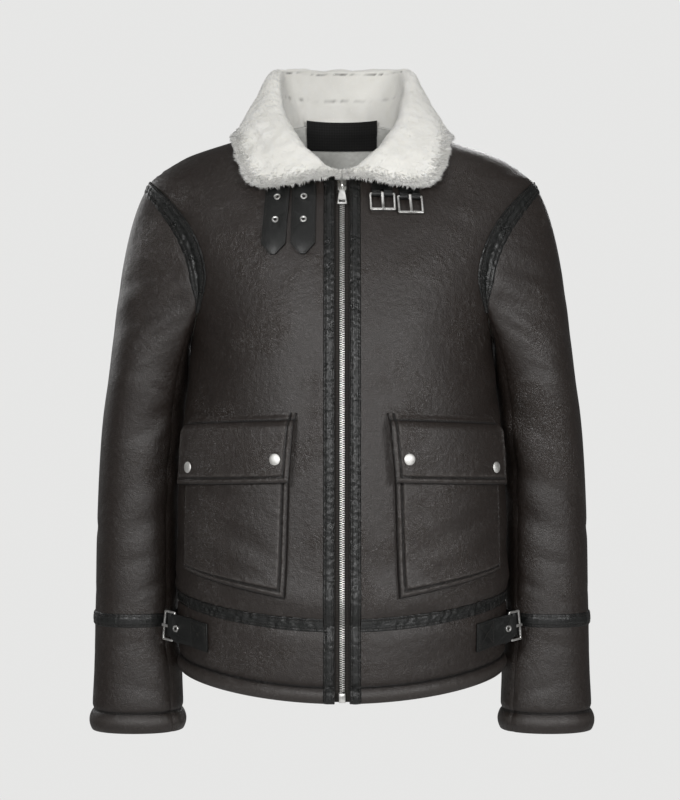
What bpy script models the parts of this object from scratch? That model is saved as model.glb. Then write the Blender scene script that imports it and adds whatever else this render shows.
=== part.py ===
"""A man's shearling jacket, size L, filled out as when it is worn, with nobody in it.

Metres, +Z up. The front faces -Y and the wearer's left arm is at +X. The origin is the middle of
the neck and shoulders, where the wearer holds the jacket up.

Body and sleeves are walls of hide with the wool inside. The body is one smooth surface, torso(),
that every panel, trim, pocket, strap and buckle is measured from, so that they all fit each other.
"""

import math

import bmesh
import bpy
import numpy as np
from mathutils import Matrix, Vector

for old in list(bpy.data.objects):
    bpy.data.objects.remove(old)

# Driving sizes
HIDE = 0.0040
LEATHER = 0.0015
SEAM_GAP = 0.0003
LAID_ON = 0.0004
ZIP_OPENING = 0.0085
WAIST = -0.5665
HEM = -0.6550
HEM_GROOVE = -0.6370
TRIM_TOP = -0.0525
UNDERARM = -0.2400
SHOULDER = -0.0490
NECK_SIDE = 0.0220

# Body sections: half width, and how far the front and the back lie from the shoulder line.
TORSO_COLUMNS = ("height", "half_width", "front", "back")
TORSO = (
    (-0.690, 0.191, 0.142, 0.137),
    (-0.640, 0.195, 0.146, 0.140),
    (-0.600, 0.199, 0.148, 0.140),
    (-0.560, 0.200, 0.148, 0.137),
    (-0.500, 0.201, 0.147, 0.131),
    (-0.433, 0.200, 0.146, 0.127),
    (-0.380, 0.197, 0.145, 0.126),
    (-0.330, 0.192, 0.143, 0.126),
    (-0.280, 0.186, 0.141, 0.128),
    (-0.240, 0.183, 0.139, 0.130),
    (-0.200, 0.190, 0.134, 0.130),
    (-0.150, 0.204, 0.124, 0.128),
    (-0.100, 0.221, 0.107, 0.122),
    (-0.070, 0.230, 0.092, 0.115),
    (-0.049, 0.2335, 0.080, 0.109),
    (-0.036, 0.2205, 0.073, 0.105),
    (-0.026, 0.206, 0.0675, 0.1015),
    (-0.016, 0.188, 0.061, 0.098),
    (-0.006, 0.160, 0.054, 0.0935),
    (0.004, 0.128, 0.0475, 0.0885),
    (0.012, 0.104, 0.0425, 0.084),
    (0.018, 0.088, 0.039, 0.080),
    (0.024, 0.076, 0.036, 0.076),
    (0.044, 0.066, 0.034, 0.069),
)
TORSO_SQUARENESS = 0.012

# How much higher a level line lies at the sides than at the centre front, near the hem.
RISE_COLUMNS = ("height", "rise")
RISE = (
    (-0.690, 0.0180),
    (-0.655, 0.0190),
    (-0.610, 0.0208),
    (-0.566, 0.0215),
    (-0.540, 0.0130),
    (-0.510, 0.0050),
    (-0.450, 0.0000),
)

# The neck seam on the body, from the zip round to the centre back.
NECK_COLUMNS = ("turn", "height")
NECK = (
    (0.25, -0.0490),
    (3.1, -0.0475),
    (7.6, -0.0420),
    (13.0, -0.0300),
    (17.3, -0.0180),
    (22.7, -0.0080),
    (36.5, 0.0060),
    (84.0, 0.0215),
    (104.0, 0.0220),
    (128.0, 0.0220),
    (150.0, 0.0220),
    (180.0, 0.0220),
)

# The collar over the same stations: its roll line, its outer edge, how far the fall bulges,
# how thick the fleece is and how wide the fold at the top.
COLLAR_COLUMNS = ("roll_x", "roll_y", "roll_z", "edge_x", "edge_y", "edge_z", "bulge", "thick", "fold")
COLLAR = (
    (0.0012, -0.083, -0.0415, 0.0012, -0.097, -0.0495, 0.001, 0.0045, 0.0060),
    (0.0140, -0.080, -0.0360, 0.0260, -0.098, -0.0520, 0.002, 0.0055, 0.0085),
    (0.0280, -0.073, -0.0205, 0.0540, -0.097, -0.0580, 0.003, 0.0080, 0.0120),
    (0.0415, -0.061, -0.006, 0.0840, -0.093, -0.0620, 0.004, 0.0095, 0.0150),
    (0.0500, -0.049, 0.0075, 0.1060, -0.086, -0.0560, 0.004, 0.0095, 0.0150),
    (0.0580, -0.037, 0.022, 0.1190, -0.064, -0.0310, 0.004, 0.0095, 0.0150),
    (0.0655, -0.020, 0.0415, 0.1270, -0.036, -0.0120, 0.005, 0.0095, 0.0150),
    (0.0710, 0.002, 0.0655, 0.1300, 0.000, 0.0020, 0.006, 0.0095, 0.0150),
    (0.0735, 0.024, 0.088, 0.1240, 0.032, 0.0020, 0.006, 0.0095, 0.0150),
    (0.0710, 0.048, 0.104, 0.1020, 0.070, -0.0020, 0.007, 0.0095, 0.0150),
    (0.0480, 0.062, 0.108, 0.0600, 0.094, -0.0040, 0.007, 0.0095, 0.0150),
    (0.0000, 0.068, 0.109, 0.0000, 0.104, -0.0040, 0.007, 0.0095, 0.0150),
)

# The armhole, as an oval on the body.
ARMHOLE_FRONT = 33.5
ARMHOLE_BACK = 30.0
ARMHOLE_MIDDLE = (SHOULDER + UNDERARM) / 2
ARMHOLE_HALF = (SHOULDER - UNDERARM) / 2

# Sleeve sections below the underarm.
SLEEVE_COLUMNS = ("height", "inner", "outer", "half_depth", "middle_y")
SLEEVE = (
    (-0.290, 0.1880, 0.2865, 0.0620, 0.015),
    (-0.330, 0.1920, 0.2930, 0.0610, 0.021),
    (-0.370, 0.1962, 0.2970, 0.0600, 0.024),
    (-0.433, 0.2000, 0.3005, 0.0575, 0.026),
    (-0.500, 0.2018, 0.3025, 0.0550, 0.026),
    (-0.545, 0.2015, 0.3030, 0.0530, 0.025),
    (-0.573, 0.2035, 0.3035, 0.0510, 0.024),
    (-0.605, 0.2030, 0.3040, 0.0490, 0.023),
    (-0.640, 0.1980, 0.3045, 0.0460, 0.020),
    (-0.690, 0.1950, 0.3060, 0.0420, 0.015),
    (-0.720, 0.1950, 0.3060, 0.0410, 0.015),
)
CUFF = -0.7130
CUFF_GROOVE = -0.6890
ROLL_BULGE = 0.0040
UNDER_SLEEVE = (140.0, 220.0)
SLEEVE_BAND = (-0.5850, -0.5690)

# Soft folds on the sleeves: where they are, how long and wide, and how deep.
FOLD_COLUMNS = ("height", "around", "half_length", "half_width", "depth")
FOLDS = (
    (-0.160, 62.0, 40.0, 0.012, 0.0030),
    (-0.205, 78.0, 44.0, 0.014, 0.0035),
    (-0.330, 125.0, 36.0, 0.015, 0.0034),
    (-0.395, 140.0, 36.0, 0.014, 0.0034),
    (-0.455, 120.0, 40.0, 0.016, 0.0030),
    (-0.400, 290.0, 42.0, 0.016, 0.0030),
)


def column(table, names, name):
    """One named column of a table."""
    return np.array([row[names.index(name)] for row in table], float)


def smooth(xs, ys, x):
    """A smooth curve through the points, with no overshoot between them."""
    order = np.argsort(xs)
    xs, ys = xs[order], ys[order]
    steps, rises = np.diff(xs), np.diff(ys)
    slopes = rises / steps
    ends = np.zeros(len(xs))
    ends[0], ends[-1] = slopes[0], slopes[-1]
    for i in range(1, len(xs) - 1):
        if slopes[i - 1] * slopes[i] > 0:
            a, b = 2 * steps[i] + steps[i - 1], steps[i] + 2 * steps[i - 1]
            ends[i] = (a + b) / (a / slopes[i - 1] + b / slopes[i])
    i = int(np.clip(np.searchsorted(xs, x) - 1, 0, len(xs) - 2))
    t = (np.clip(x, xs[0], xs[-1]) - xs[i]) / steps[i]
    return float(
        ys[i] * (1 + 2 * t) * (1 - t) ** 2
        + ends[i] * steps[i] * t * (1 - t) ** 2
        + ys[i + 1] * t * t * (3 - 2 * t)
        - ends[i + 1] * steps[i] * t * t * (1 - t)
    )


def lookup(table, names, key, x):
    """A row of the table at x along its key column, as a dictionary."""
    keys = column(table, names, key)
    return {n: smooth(keys, column(table, names, n), x) for n in names if n != key}


def ramp(x, low, high):
    """0 below low, 1 above high, smooth between."""
    t = float(np.clip((x - low) / (high - low), 0, 1))
    return t * t * (3 - 2 * t)


def drop(turn, height):
    """How much higher a level line lies at the side and back than at the centre front."""
    low = lookup(RISE, RISE_COLUMNS, "height", height)["rise"]
    front = math.sin(math.radians(turn)) ** 2
    back = 1 - 0.35 * math.cos(math.radians(turn)) ** 2
    behind = math.cos(math.radians(turn)) < 0
    nape = 0.018 * ramp(height, -0.06, NECK_SIDE) * math.cos(math.radians(turn)) ** 2
    return low * (back if behind else front) + (nape if behind else 0)


def pinch(height):
    """The body puffs out above the waist seam and is drawn in at it."""
    seam = (height - WAIST) / 0.010
    above = (height - WAIST - 0.028) / 0.022
    return 0.003 * math.exp(-above * above) - 0.0035 * math.exp(-seam * seam)


def torso_base(turn, height):
    z = height + drop(turn, height)
    ring = lookup(TORSO, TORSO_COLUMNS, "height", z)
    angle = math.radians(turn)
    full = 1 + TORSO_SQUARENESS * math.sin(2 * angle) ** 2
    depth = ring["back"] if math.cos(angle) < 0 else ring["front"]
    puff = pinch(height)
    x = (ring["half_width"] * full + puff) * math.sin(angle)
    y = -(depth * full + puff) * math.cos(angle)
    return np.array((x, y, z))


def torso_normal(turn, height):
    around = torso_base(turn + 0.4, height) - torso_base(turn - 0.4, height)
    up = torso_base(turn, height + 0.0008) - torso_base(turn, height - 0.0008)
    normal = np.cross(around, up)
    return normal / np.linalg.norm(normal)


def torso(turn, height, out=0.0):
    """A point on the body, out metres from its outer face. Turn is in degrees from the centre
    front: 90 is the wearer's left side, 180 the centre back and -90 the right side."""
    point = torso_base(turn, height)
    return point + torso_normal(turn, height) * out if out else point


def turn_at(x, height):
    """The turn at which the front of the body is x metres from its middle."""
    half = lookup(TORSO, TORSO_COLUMNS, "height", height)["half_width"]
    return math.degrees(math.asin(max(-1.0, min(1.0, x / half))))


def armhole(around, wider=0.0, lower=0.0):
    """(turn, height) on the armhole of the left side. Around is 0 at the shoulder, 90 in front,
    180 at the underarm; wider is in degrees and lower in metres at the underarm."""
    a = math.radians(around)
    reach = (ARMHOLE_FRONT if math.sin(a) > 0 else ARMHOLE_BACK) + wider
    tall = ARMHOLE_HALF + lower * (1 - 0.3 * math.cos(a)) / 1.3
    return 90 - reach * math.sin(a), ARMHOLE_MIDDLE + tall * math.cos(a)


def neck_start(height):
    """The turn at which a front panel's row starts: at the zip, or at the neck seam above it."""
    edge = turn_at(ZIP_OPENING, height)
    if height <= SHOULDER:
        return edge
    front = NECK[:8]
    turns, heights = column(front, NECK_COLUMNS, "turn"), column(front, NECK_COLUMNS, "height")
    return max(edge, smooth(heights, turns, height))


def row_end(height, behind):
    """The turn at which a row of the front or back ends: the side seam, the armhole or the
    shoulder seam."""
    reach = ARMHOLE_BACK if behind else ARMHOLE_FRONT
    share = (height - ARMHOLE_MIDDLE) / ARMHOLE_HALF
    if abs(share) >= 1:
        return 90.0
    return 90 + reach * math.sqrt(1 - share * share) * (1 if behind else -1)


AROUND = 20.0
BODY_ROWS = [WAIST + SEAM_GAP, WAIST + 0.0075, -0.5420, -0.5150, -0.4700, -0.4200, -0.3700, -0.3200]
BODY_ROWS += [-0.2760]
BODY_ROWS += [armhole(180 - AROUND * k)[1] for k in range(10)]
NECK_ROWS = [-0.0465, -0.0420, -0.0340, -0.0260, -0.0180, -0.0090, 0.0010, 0.0110, 0.0213]
HEM_ROWS = [WAIST - SEAM_GAP, WAIST - 0.0075, -0.6000, -0.6250, HEM_GROOVE, -0.6400, -0.6440, -0.6480]
HEM_ROWS += [-0.6520, HEM]


def material(name, colour, roughness, metallic):
    made = bpy.data.materials.new(name)
    made.use_nodes = True
    shader = made.node_tree.nodes["Principled BSDF"]
    shader.inputs["Base Color"].default_value = (*colour, 1.0)
    shader.inputs["Roughness"].default_value = roughness
    shader.inputs["Metallic"].default_value = metallic
    return made


# Finishes: name, colour, roughness and how metallic
BROWN_HIDE = ("brown_hide", (0.045, 0.037, 0.033), 0.62, 0.0)
BLACK_LEATHER = ("black_leather", (0.018, 0.020, 0.018), 0.38, 0.0)
FLEECE = ("cream_fleece", (0.78, 0.76, 0.70), 0.95, 0.0)
NICKEL = ("nickel", (0.72, 0.72, 0.70), 0.25, 1.0)
TAPE = ("zip_tape", (0.020, 0.017, 0.015), 0.85, 0.0)
LABEL = ("woven_label", (0.006, 0.006, 0.006), 0.75, 0.0)


def add(name, mesh_data, look):
    """Makes the object, with its faces turned outwards and a material of its own. A helper that
    only cuts or joins has no look."""
    bm = bmesh.new()
    bm.from_mesh(mesh_data)
    bmesh.ops.remove_doubles(bm, verts=bm.verts, dist=1e-6)
    bmesh.ops.recalc_face_normals(bm, faces=bm.faces)
    bm.to_mesh(mesh_data)
    bm.free()
    mesh_data.shade_smooth()
    mesh_data.set_sharp_from_angle(angle=math.radians(50))
    made = bpy.data.objects.new(name, mesh_data)
    bpy.context.scene.collection.objects.link(made)
    if look:
        finish, *values = look
        mesh_data.materials.append(material(f"{name}_{finish}", *values))
    else:
        made.hide_render = True
        made.display_type = "WIRE"
    return made


def wall(name, outer, inner, look, ring=False):
    """A closed wall between two grids of points, given by rows. In a ring the last point of a row
    is next to the first."""
    rows, across = len(outer), len(outer[0])
    points = [tuple(p) for grid in (outer, inner) for row in grid for p in row]
    far = rows * across
    faces = []
    spans = across if ring else across - 1
    for r in range(rows - 1):
        for c in range(spans):
            d = (c + 1) % across
            a, b, e, f = r * across + c, r * across + d, (r + 1) * across + d, (r + 1) * across + c
            faces.append((a, b, e, f))
            faces.append((far + f, far + e, far + b, far + a))
    for c in range(spans):
        d = (c + 1) % across
        faces.append((far + c, far + d, d, c))
        last = (rows - 1) * across
        faces.append((last + c, last + d, far + last + d, far + last + c))
    if not ring:
        for r in range(rows - 1):
            a, b = r * across, (r + 1) * across
            faces.append((a, b, far + b, far + a))
            a, b = a + across - 1, b + across - 1
            faces.append((b, a, far + a, far + b))
    mesh_data = bpy.data.meshes.new(name)
    mesh_data.from_pydata(points, [], faces)
    return add(name, mesh_data, look)


def sheet(name, place, columns, rows, outer, inner, look, ring=False):
    """A wall whose points are place(column, row, out), with outer and inner as its two outs,
    each a number or a function of column and row."""
    top = outer if callable(outer) else lambda c, r: outer
    low = inner if callable(inner) else lambda c, r: inner
    outside = [[place(c, r, top(c, r)) for c in columns] for r in rows]
    inside = [[place(c, r, low(c, r)) for c in columns] for r in rows]
    return wall(name, outside, inside, look, ring)


def spaced(start, end, count):
    return [start + (end - start) * k / count for k in range(count + 1)]


def roll(height, groove, end):
    """How far a turned edge stands out, from its stitched groove to its end."""
    if height >= groove:
        return -0.0012 * math.exp(-(((height - groove) / 0.004) ** 2))
    t = (groove - height) / (groove - end)
    return -0.0012 * (1 - t) + ROLL_BULGE * math.sin(math.pi * min(1.0, 0.08 + 0.90 * t)) ** 0.75


def hem_out(_, height):
    return roll(height, HEM_GROOVE, HEM) if height < WAIST else 0.0


def front_panel(side, label):
    def place(share, height, out):
        start, end = neck_start(height), row_end(height, False)
        edge = math.degrees(SEAM_GAP / 2 / 0.15) if end == 90.0 else 0.0
        return torso(side * (start + (end - edge - start) * share), height, out)

    return sheet(f"front_{label}", place, spaced(0, 1, 8), BODY_ROWS + NECK_ROWS, 0.0, -HIDE, BROWN_HIDE)


def back_panel():
    def place(share, height, out):
        start = row_end(height, True)
        start += math.degrees(SEAM_GAP / 2 / 0.15) if start == 90.0 else 0.0
        return torso(start + (360 - 2 * start) * share, height, out)

    return sheet("back", place, spaced(0, 1, 16), BODY_ROWS + NECK_ROWS, 0.0, -HIDE, BROWN_HIDE)


def hem_panel(name, first, last, count):
    """A panel below the waist seam; first and last are turns, or None for the zip's edge."""

    def place(share, height, out):
        gap = math.degrees(SEAM_GAP / 2 / 0.15)
        start = turn_at(ZIP_OPENING, height) if first is None else first + gap
        end = -turn_at(ZIP_OPENING, height) if last is None else last - gap
        return torso(start + (end - start) * share, height, out)

    return sheet(name, place, spaced(0, 1, count), HEM_ROWS, hem_out, -HIDE, BROWN_HIDE)


def zip_trim(side, label):
    """The black strip beside the zip, over the front and the hem panel."""
    rows = [HEM + 0.0002] + HEM_ROWS[::-1][1:] + BODY_ROWS[:-1] + [TRIM_TOP]

    def place(x, height, out):
        return torso(side * turn_at(x, height), height, out)

    def on_top(x, height):
        return hem_out(x, height) + LAID_ON + LEATHER

    def beneath(x, height):
        return hem_out(x, height) + LAID_ON

    return sheet(f"zip_trim_{label}", place, (0.0088, 0.0150, 0.0212), rows, on_top, beneath, BLACK_LEATHER)


def waist_trim(name, turns):
    """The black strip over the waist seam, at the turns of the panels below it."""
    rows = [WAIST - 0.0075, WAIST, WAIST + 0.0075]

    def place(turn, height, out):
        return torso(turn, height, out)

    return sheet(name, place, turns, rows, LAID_ON + LEATHER, LAID_ON, BLACK_LEATHER)


def armhole_trim(side, label):
    """The black strip round the armhole, on the body. It stops either side of the underarm,
    where sleeve and body lie too close for it."""

    def place(around, share, out):
        turn, height = armhole(around, wider=0.35 + 4.9 * share, lower=0.001 + 0.013 * share)
        if math.cos(math.radians(around)) > 0:
            flatter = math.cos(math.radians(around)) ** 2
            height -= flatter * 0.55 * (height - armhole(around)[1])
        return torso(side * turn, height, out)

    steps = [AROUND / 2 * k for k in range(-13, 14)]
    out = 0.0013
    sheet(f"armhole_trim_{label}", place, steps, (0.0, 1.0), out + LEATHER, out, BLACK_LEATHER)


def sleeve_ring(height, around):
    ring = lookup(SLEEVE, SLEEVE_COLUMNS, "height", height)
    a = math.radians(around)
    middle, half = (ring["inner"] + ring["outer"]) / 2, (ring["outer"] - ring["inner"]) / 2
    full = 1 + 0.03 * math.sin(2 * a) ** 2
    x = middle + half * full * math.cos(a)
    y = ring["middle_y"] - ring["half_depth"] * full * math.sin(a)
    return np.array((x, y, height))


SLEEVE_TOP = SLEEVE[0][0]
CAP_ROWS = 6


def sleeve_base(along, around):
    """A point on the left sleeve's outer face. Along is 0 at the armhole, 1 at the first level
    ring below the underarm, and past 1 it is 1 plus the distance below that ring."""
    if along >= 1:
        return sleeve_ring(SLEEVE_TOP - (along - 1), around)
    a = math.radians(around)
    start = torso(*armhole(around))
    end = sleeve_ring(SLEEVE_TOP, around)
    reach = np.linalg.norm(end - start)
    leaving = np.array((0.61, -0.10 * math.sin(a), -0.79))
    start = start + np.array((0.0006, 0.0, -0.0002))
    pull = 0.515 + 0.15 * math.cos(a) + 0.40 * max(0.0, -math.cos(a)) ** 2
    t = along
    return (
        start * (1 + 2 * t) * (1 - t) ** 2
        + leaving * reach * pull * t * (1 - t) ** 2
        + end * t * t * (3 - 2 * t)
        + np.array((-0.13, 0.0, 1.0)) * reach * 0.80 * t * t * (1 - t)
    )


def fold_depth(point, around):
    deep = 0.0
    for height, at, length, width, depth in FOLDS:
        off = (around - at + 180) % 360 - 180
        tilt = height + 0.00035 * off
        deep += depth * math.exp(-((off / length) ** 2) - ((point[2] - tilt) / width) ** 2)
    return deep


def sleeve(along, around, out):
    point = sleeve_base(along, around)
    d_around = sleeve_base(along, around + 1.0) - sleeve_base(along, around - 1.0)
    nearer = max(0.0, along - 0.01)
    d_along = sleeve_base(along + 0.01, around) - sleeve_base(nearer, around)
    normal = np.cross(d_around, d_along)
    normal = normal / np.linalg.norm(normal)
    return point + normal * (out - ramp(along, 0.10, 0.35) * fold_depth(point, around))


def along_of(height):
    return 1 + SLEEVE_TOP - height


SLEEVE_ROWS = [k / CAP_ROWS for k in range(CAP_ROWS)]
SLEEVE_ROWS += [along_of(h) for h in (-0.290, -0.325, -0.360, -0.400, -0.440, -0.500, -0.569)]
SLEEVE_ROWS += [along_of(h) for h in (-0.585, -0.640, CUFF_GROOVE, -0.6920, -0.6975, -0.7035)]
SLEEVE_ROWS += [along_of(h) for h in (-0.7095, CUFF)]


def cuff_out(_, along):
    height = SLEEVE_TOP - (along - 1)
    return roll(height, CUFF_GROOVE, CUFF) if along > 1 else 0.0


def sleeve_panels(side, label):
    mirror = np.array((side, 1.0, 1.0))

    def place(around, along, out):
        return sleeve(along, around, out) * mirror

    low, high = UNDER_SLEEVE
    gap = math.degrees(SEAM_GAP / 2 / 0.05)
    under = [low + gap] + [low + AROUND * k for k in range(1, 4)] + [high - gap]
    top = [high + gap] + [high + AROUND * k for k in range(1, 14)] + [low + 360 - gap]
    sheet(f"under_sleeve_{label}", place, under, SLEEVE_ROWS, cuff_out, -HIDE, BROWN_HIDE)
    sheet(f"top_sleeve_{label}", place, top, SLEEVE_ROWS, cuff_out, -HIDE, BROWN_HIDE)
    rows = [along_of(h) for h in SLEEVE_BAND[::-1]]
    steps = [AROUND * k for k in range(18)]
    sheet(
        f"sleeve_band_{label}", place, steps, rows, LAID_ON + LEATHER, LAID_ON, BLACK_LEATHER, ring=True
    )


# A pocket's edges and its flap's: the x of the inner end, its height there and at the outer end.
FLAP_TOP = (0.0510, -0.3255, -0.3320)
FLAP_BOTTOM = (0.0575, -0.4050, -0.4110)
BAG_TOP = (0.0575, -0.3440, -0.3500)
BAG_BOTTOM = (0.0630, -0.5370, -0.5145)
FLAP_SIDE = 65.0
BAG_SIDE = 63.0
SNAPS = (("inner", 0.100, 0.66), ("outer", 0.820, 0.75))


def pocket_place(side, top, bottom, last):
    """Places points of a piece between two slanting edges, each (x of its inner end, its height
    there, its height at the side)."""

    def place(across, down, out):
        x = top[0] + (bottom[0] - top[0]) * down
        inner = top[1] + (bottom[1] - top[1]) * down
        outer = top[2] + (bottom[2] - top[2]) * down
        height = inner + (outer - inner) * across
        start = turn_at(x, height)
        return torso(side * (start + (last - start) * across), height, out)

    return place


def edge_rise(share, margin):
    """0 at the two ends of a stretch, 1 inside them by margin."""
    return min(1.0, min(share, 1 - share) / margin)


POCKET_ACROSS = [0.0, 0.05] + spaced(0.05, 0.95, 8)[1:-1] + [0.95, 1.0]
BAG_DOWN = [0.0, 0.2, 0.4, 0.6, 0.8, 0.945, 1.0]
FLAP_DOWN = [0.0, 0.08, 0.16, 0.24, 0.48, 0.72, 0.91, 1.0]


def pocket(side, label):
    def bag_out(across, down):
        rim = min(edge_rise(across, 0.05), (1 - down) / 0.055, 1.0)
        sag = 0.004 * math.sin(math.pi * across) * down
        return 0.0058 + 0.0034 * rim ** 0.5 + sag

    def bag_in(across, down):
        """The bag's edges are sewn down, and between them it stands off the front."""
        inside = min(edge_rise(across, 0.05), (1 - down) / 0.055, 1.0)
        return LAID_ON + 0.0032 * (1.0 if inside > 0.9 else 0.0)

    def flap_out(across, down):
        rim = min(edge_rise(across, 0.05), (1 - down) / 0.10, 1.0) ** 0.5
        return flap_in(across, down) + 0.0030 + 0.0022 * rim

    def flap_in(across, down):
        """The flap is sewn down along its top and lies on the bag below."""
        return 0.0006 + 0.0112 * ramp(down, 0.0, 0.22)

    bag = pocket_place(side, BAG_TOP, BAG_BOTTOM, BAG_SIDE)
    sheet(f"pocket_{label}", bag, POCKET_ACROSS, BAG_DOWN, bag_out, bag_in, BROWN_HIDE)
    flap = pocket_place(side, FLAP_TOP, FLAP_BOTTOM, FLAP_SIDE)
    sheet(f"pocket_flap_{label}", flap, POCKET_ACROSS, FLAP_DOWN, flap_out, flap_in, BROWN_HIDE)
    for at, across, down in SNAPS:
        base = flap(across, down, flap_out(across, down) + SEAM_GAP + 0.0003)
        near = flap(across, down, 0.0)
        turned_disc(f"snap_{at}_{label}", base, base - near)


# The hole that an eyelet is set in, as a round cutter's section
EYELET_HOLE = ((0.0, -0.0040), (0.0031, -0.0040), (0.0031, 0.0060), (0.0, 0.0060))


def eyelet_ring(leather):
    """An eyelet's section: its barrel through the leather and its rim on top."""
    return ((0.0021, 0.0004), (0.0028, 0.0004), (0.0028, leather + 0.0003), (0.0043, leather + 0.0003),
            (0.0038, leather + 0.0013), (0.0021, leather + 0.0010))


def turned_disc(name, base, axis):
    """A press stud's cap: a low dome on a rim, its underside at base."""
    profile = ((0.0, 0.0), (0.0064, 0.0), (0.0068, 0.0007), (0.0050, 0.0017), (0.0, 0.0021))
    turned(name, profile, base, axis, 16, NICKEL)


def frame_matrix(origin, along, axis):
    """A frame with its z along axis and its x as near along as it can be."""
    z = Vector(axis).normalized()
    x = (Vector(along) - Vector(along).dot(z) * z).normalized()
    y = z.cross(x)
    turn = Matrix((x, y, z)).transposed().to_4x4()
    return Matrix.Translation(Vector(origin)) @ turn


def turned(name, profile, base, axis, steps, look):
    """A solid of revolution, from (radius, height) points that start and end on its axis, or that
    close on themselves for a ring."""
    bm = bmesh.new()
    closed = profile[0][0] > 0
    verts = [bm.verts.new((r, 0, h)) for r, h in profile]
    edges = [bm.edges.new(pair) for pair in zip(verts, verts[1:])]
    if closed:
        edges.append(bm.edges.new((verts[-1], verts[0])))
    bmesh.ops.spin(bm, geom=verts + edges, axis=(0, 0, 1), cent=(0, 0, 0), angle=2 * math.pi,
                   steps=steps, use_merge=True)
    bmesh.ops.remove_doubles(bm, verts=bm.verts, dist=1e-6)
    mesh_data = bpy.data.meshes.new(name)
    bm.to_mesh(mesh_data)
    bm.free()
    mesh_data.transform(frame_matrix(base, (1, 0, 0.01), axis))
    return add(name, mesh_data, look)


def prism(name, outline, low, high, frame, look):
    """A plate: an outline in the frame's x and y, between two heights along its z."""
    count = len(outline)
    points = [(x, y, low) for x, y in outline] + [(x, y, high) for x, y in outline]
    faces = [tuple(range(count))[::-1], tuple(range(count, 2 * count))]
    faces += [(k, (k + 1) % count, count + (k + 1) % count, count + k) for k in range(count)]
    mesh_data = bpy.data.meshes.new(name)
    mesh_data.from_pydata(points, [], faces)
    mesh_data.transform(frame)
    return add(name, mesh_data, look)


def apply_boolean(target, tool, operation):
    """Joins or cuts with a helper, which is then removed."""
    change = target.modifiers.new(operation.lower(), "BOOLEAN")
    change.operation = operation
    change.object = tool
    change.solver = "EXACT"
    bpy.context.view_layer.update()
    graph = bpy.context.evaluated_depsgraph_get()
    result = bpy.data.meshes.new_from_object(target.evaluated_get(graph))
    target.modifiers.clear()
    target.data = result
    bpy.data.objects.remove(tool)
    result.shade_smooth()
    result.set_sharp_from_angle(angle=math.radians(40))
    return target


def box_outline(x0, x1, y0, y1, corner=0.0):
    if not corner:
        return [(x0, y0), (x1, y0), (x1, y1), (x0, y1)]
    points = []
    for cx, cy, start in ((x1 - corner, y0 + corner, -90), (x1 - corner, y1 - corner, 0),
                          (x0 + corner, y1 - corner, 90), (x0 + corner, y0 + corner, 180)):
        for k in range(3):
            a = math.radians(start + 45 * k)
            points.append((cx + corner * math.cos(a), cy + corner * math.sin(a)))
    return points


def hang_at(made, point):
    """Puts the object's origin on the axis that it turns about."""
    made.data.transform(Matrix.Translation(-Vector(point)))
    made.location = point


# Zip
CHAIN_HALF = 0.0030
SLIDER_TOP, SLIDER_BOTTOM = -0.0530, -0.0690
ZIP_BOX_TOP = -0.6430
TAPE_TOP = -0.0500


def zip_parts():
    rows = [HEM + 0.001] + HEM_ROWS[::-1][1:] + BODY_ROWS
    tape_rows = [h for h in rows if h < TAPE_TOP - 0.002] + [TAPE_TOP]
    for side, label in ((-1, "right"), (1, "left")):

        def place(x, height, out, side=side):
            return torso(side * turn_at(x, height), height, out)

        sheet(f"zip_tape_{label}", place, (0.0004, 0.0140), tape_rows, -0.0050, -0.0058, TAPE)

    def middle(x, height, out):
        return torso(turn_at(x, height), height, out)

    between = [h for h in rows if ZIP_BOX_TOP + 0.002 < h < SLIDER_BOTTOM - 0.002]
    chain_rows = [ZIP_BOX_TOP + 0.0004] + between + [SLIDER_BOTTOM - 0.0004]
    sheet("zip_chain", middle, (-CHAIN_HALF, CHAIN_HALF), chain_rows, -0.0012, -0.0047, NICKEL)
    sheet("zip_box", middle, (-0.0038, 0.0038), (HEM + 0.0012, ZIP_BOX_TOP), 0.0006, -0.0047, NICKEL)
    slider_and_pull()


PULL_BAR_OUT = 0.0044


def slider_and_pull():
    """The slider with its arched bridge, and the pull that hangs from it."""
    height = (SLIDER_TOP + SLIDER_BOTTOM) / 2
    origin = torso(0, height)
    frame = frame_matrix(origin, (1, 0, 0), torso_normal(0, height))
    half = (SLIDER_TOP - SLIDER_BOTTOM) / 2
    body = box_outline(-0.0052, 0.0052, -half, half, 0.0022)
    slider = prism("zip_slider", body, -0.0047, 0.0018, frame, NICKEL)
    arch = [(-0.0058, 0.0010), (-0.0046, 0.0052), (-0.0030, 0.0064), (0.0030, 0.0064), (0.0046, 0.0052),
            (0.0058, 0.0010), (0.0034, 0.0010), (0.0030, 0.0052), (-0.0030, 0.0052), (-0.0034, 0.0010)]
    standing = frame @ Matrix(((0, 0, 1, 0), (1, 0, 0, 0), (0, 1, 0, 0), (0, 0, 0, 1)))
    bridge = prism("join_bridge", arch, -0.0011, 0.0011, standing, None)
    apply_boolean(slider, bridge, "UNION")
    # The pull, with its bar across the bridge's opening, hangs on the joint's axis.
    bar = frame @ Vector((0, -0.0014, PULL_BAR_OUT - 0.0010))
    hang = frame_matrix(bar, (1, 0, 0), torso_normal(0, height))
    outline = [(-0.0030, 0.0010), (0.0030, 0.0010), (0.0036, -0.0100), (0.0058, -0.0275),
               (-0.0058, -0.0275), (-0.0036, -0.0100)]
    pull = prism("zip_pull", outline, -0.0008, 0.0008, hang, NICKEL)
    eye = prism("cut_eye", box_outline(-0.0017, 0.0017, -0.0072, -0.0010), -0.003, 0.003, hang, None)
    apply_boolean(pull, eye, "DIFFERENCE")
    window = prism("cut_window", box_outline(-0.0036, 0.0036, -0.0255, -0.0215), -0.003, 0.003, hang, None)
    apply_boolean(pull, window, "DIFFERENCE")
    hang_at(pull, bar)


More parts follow.
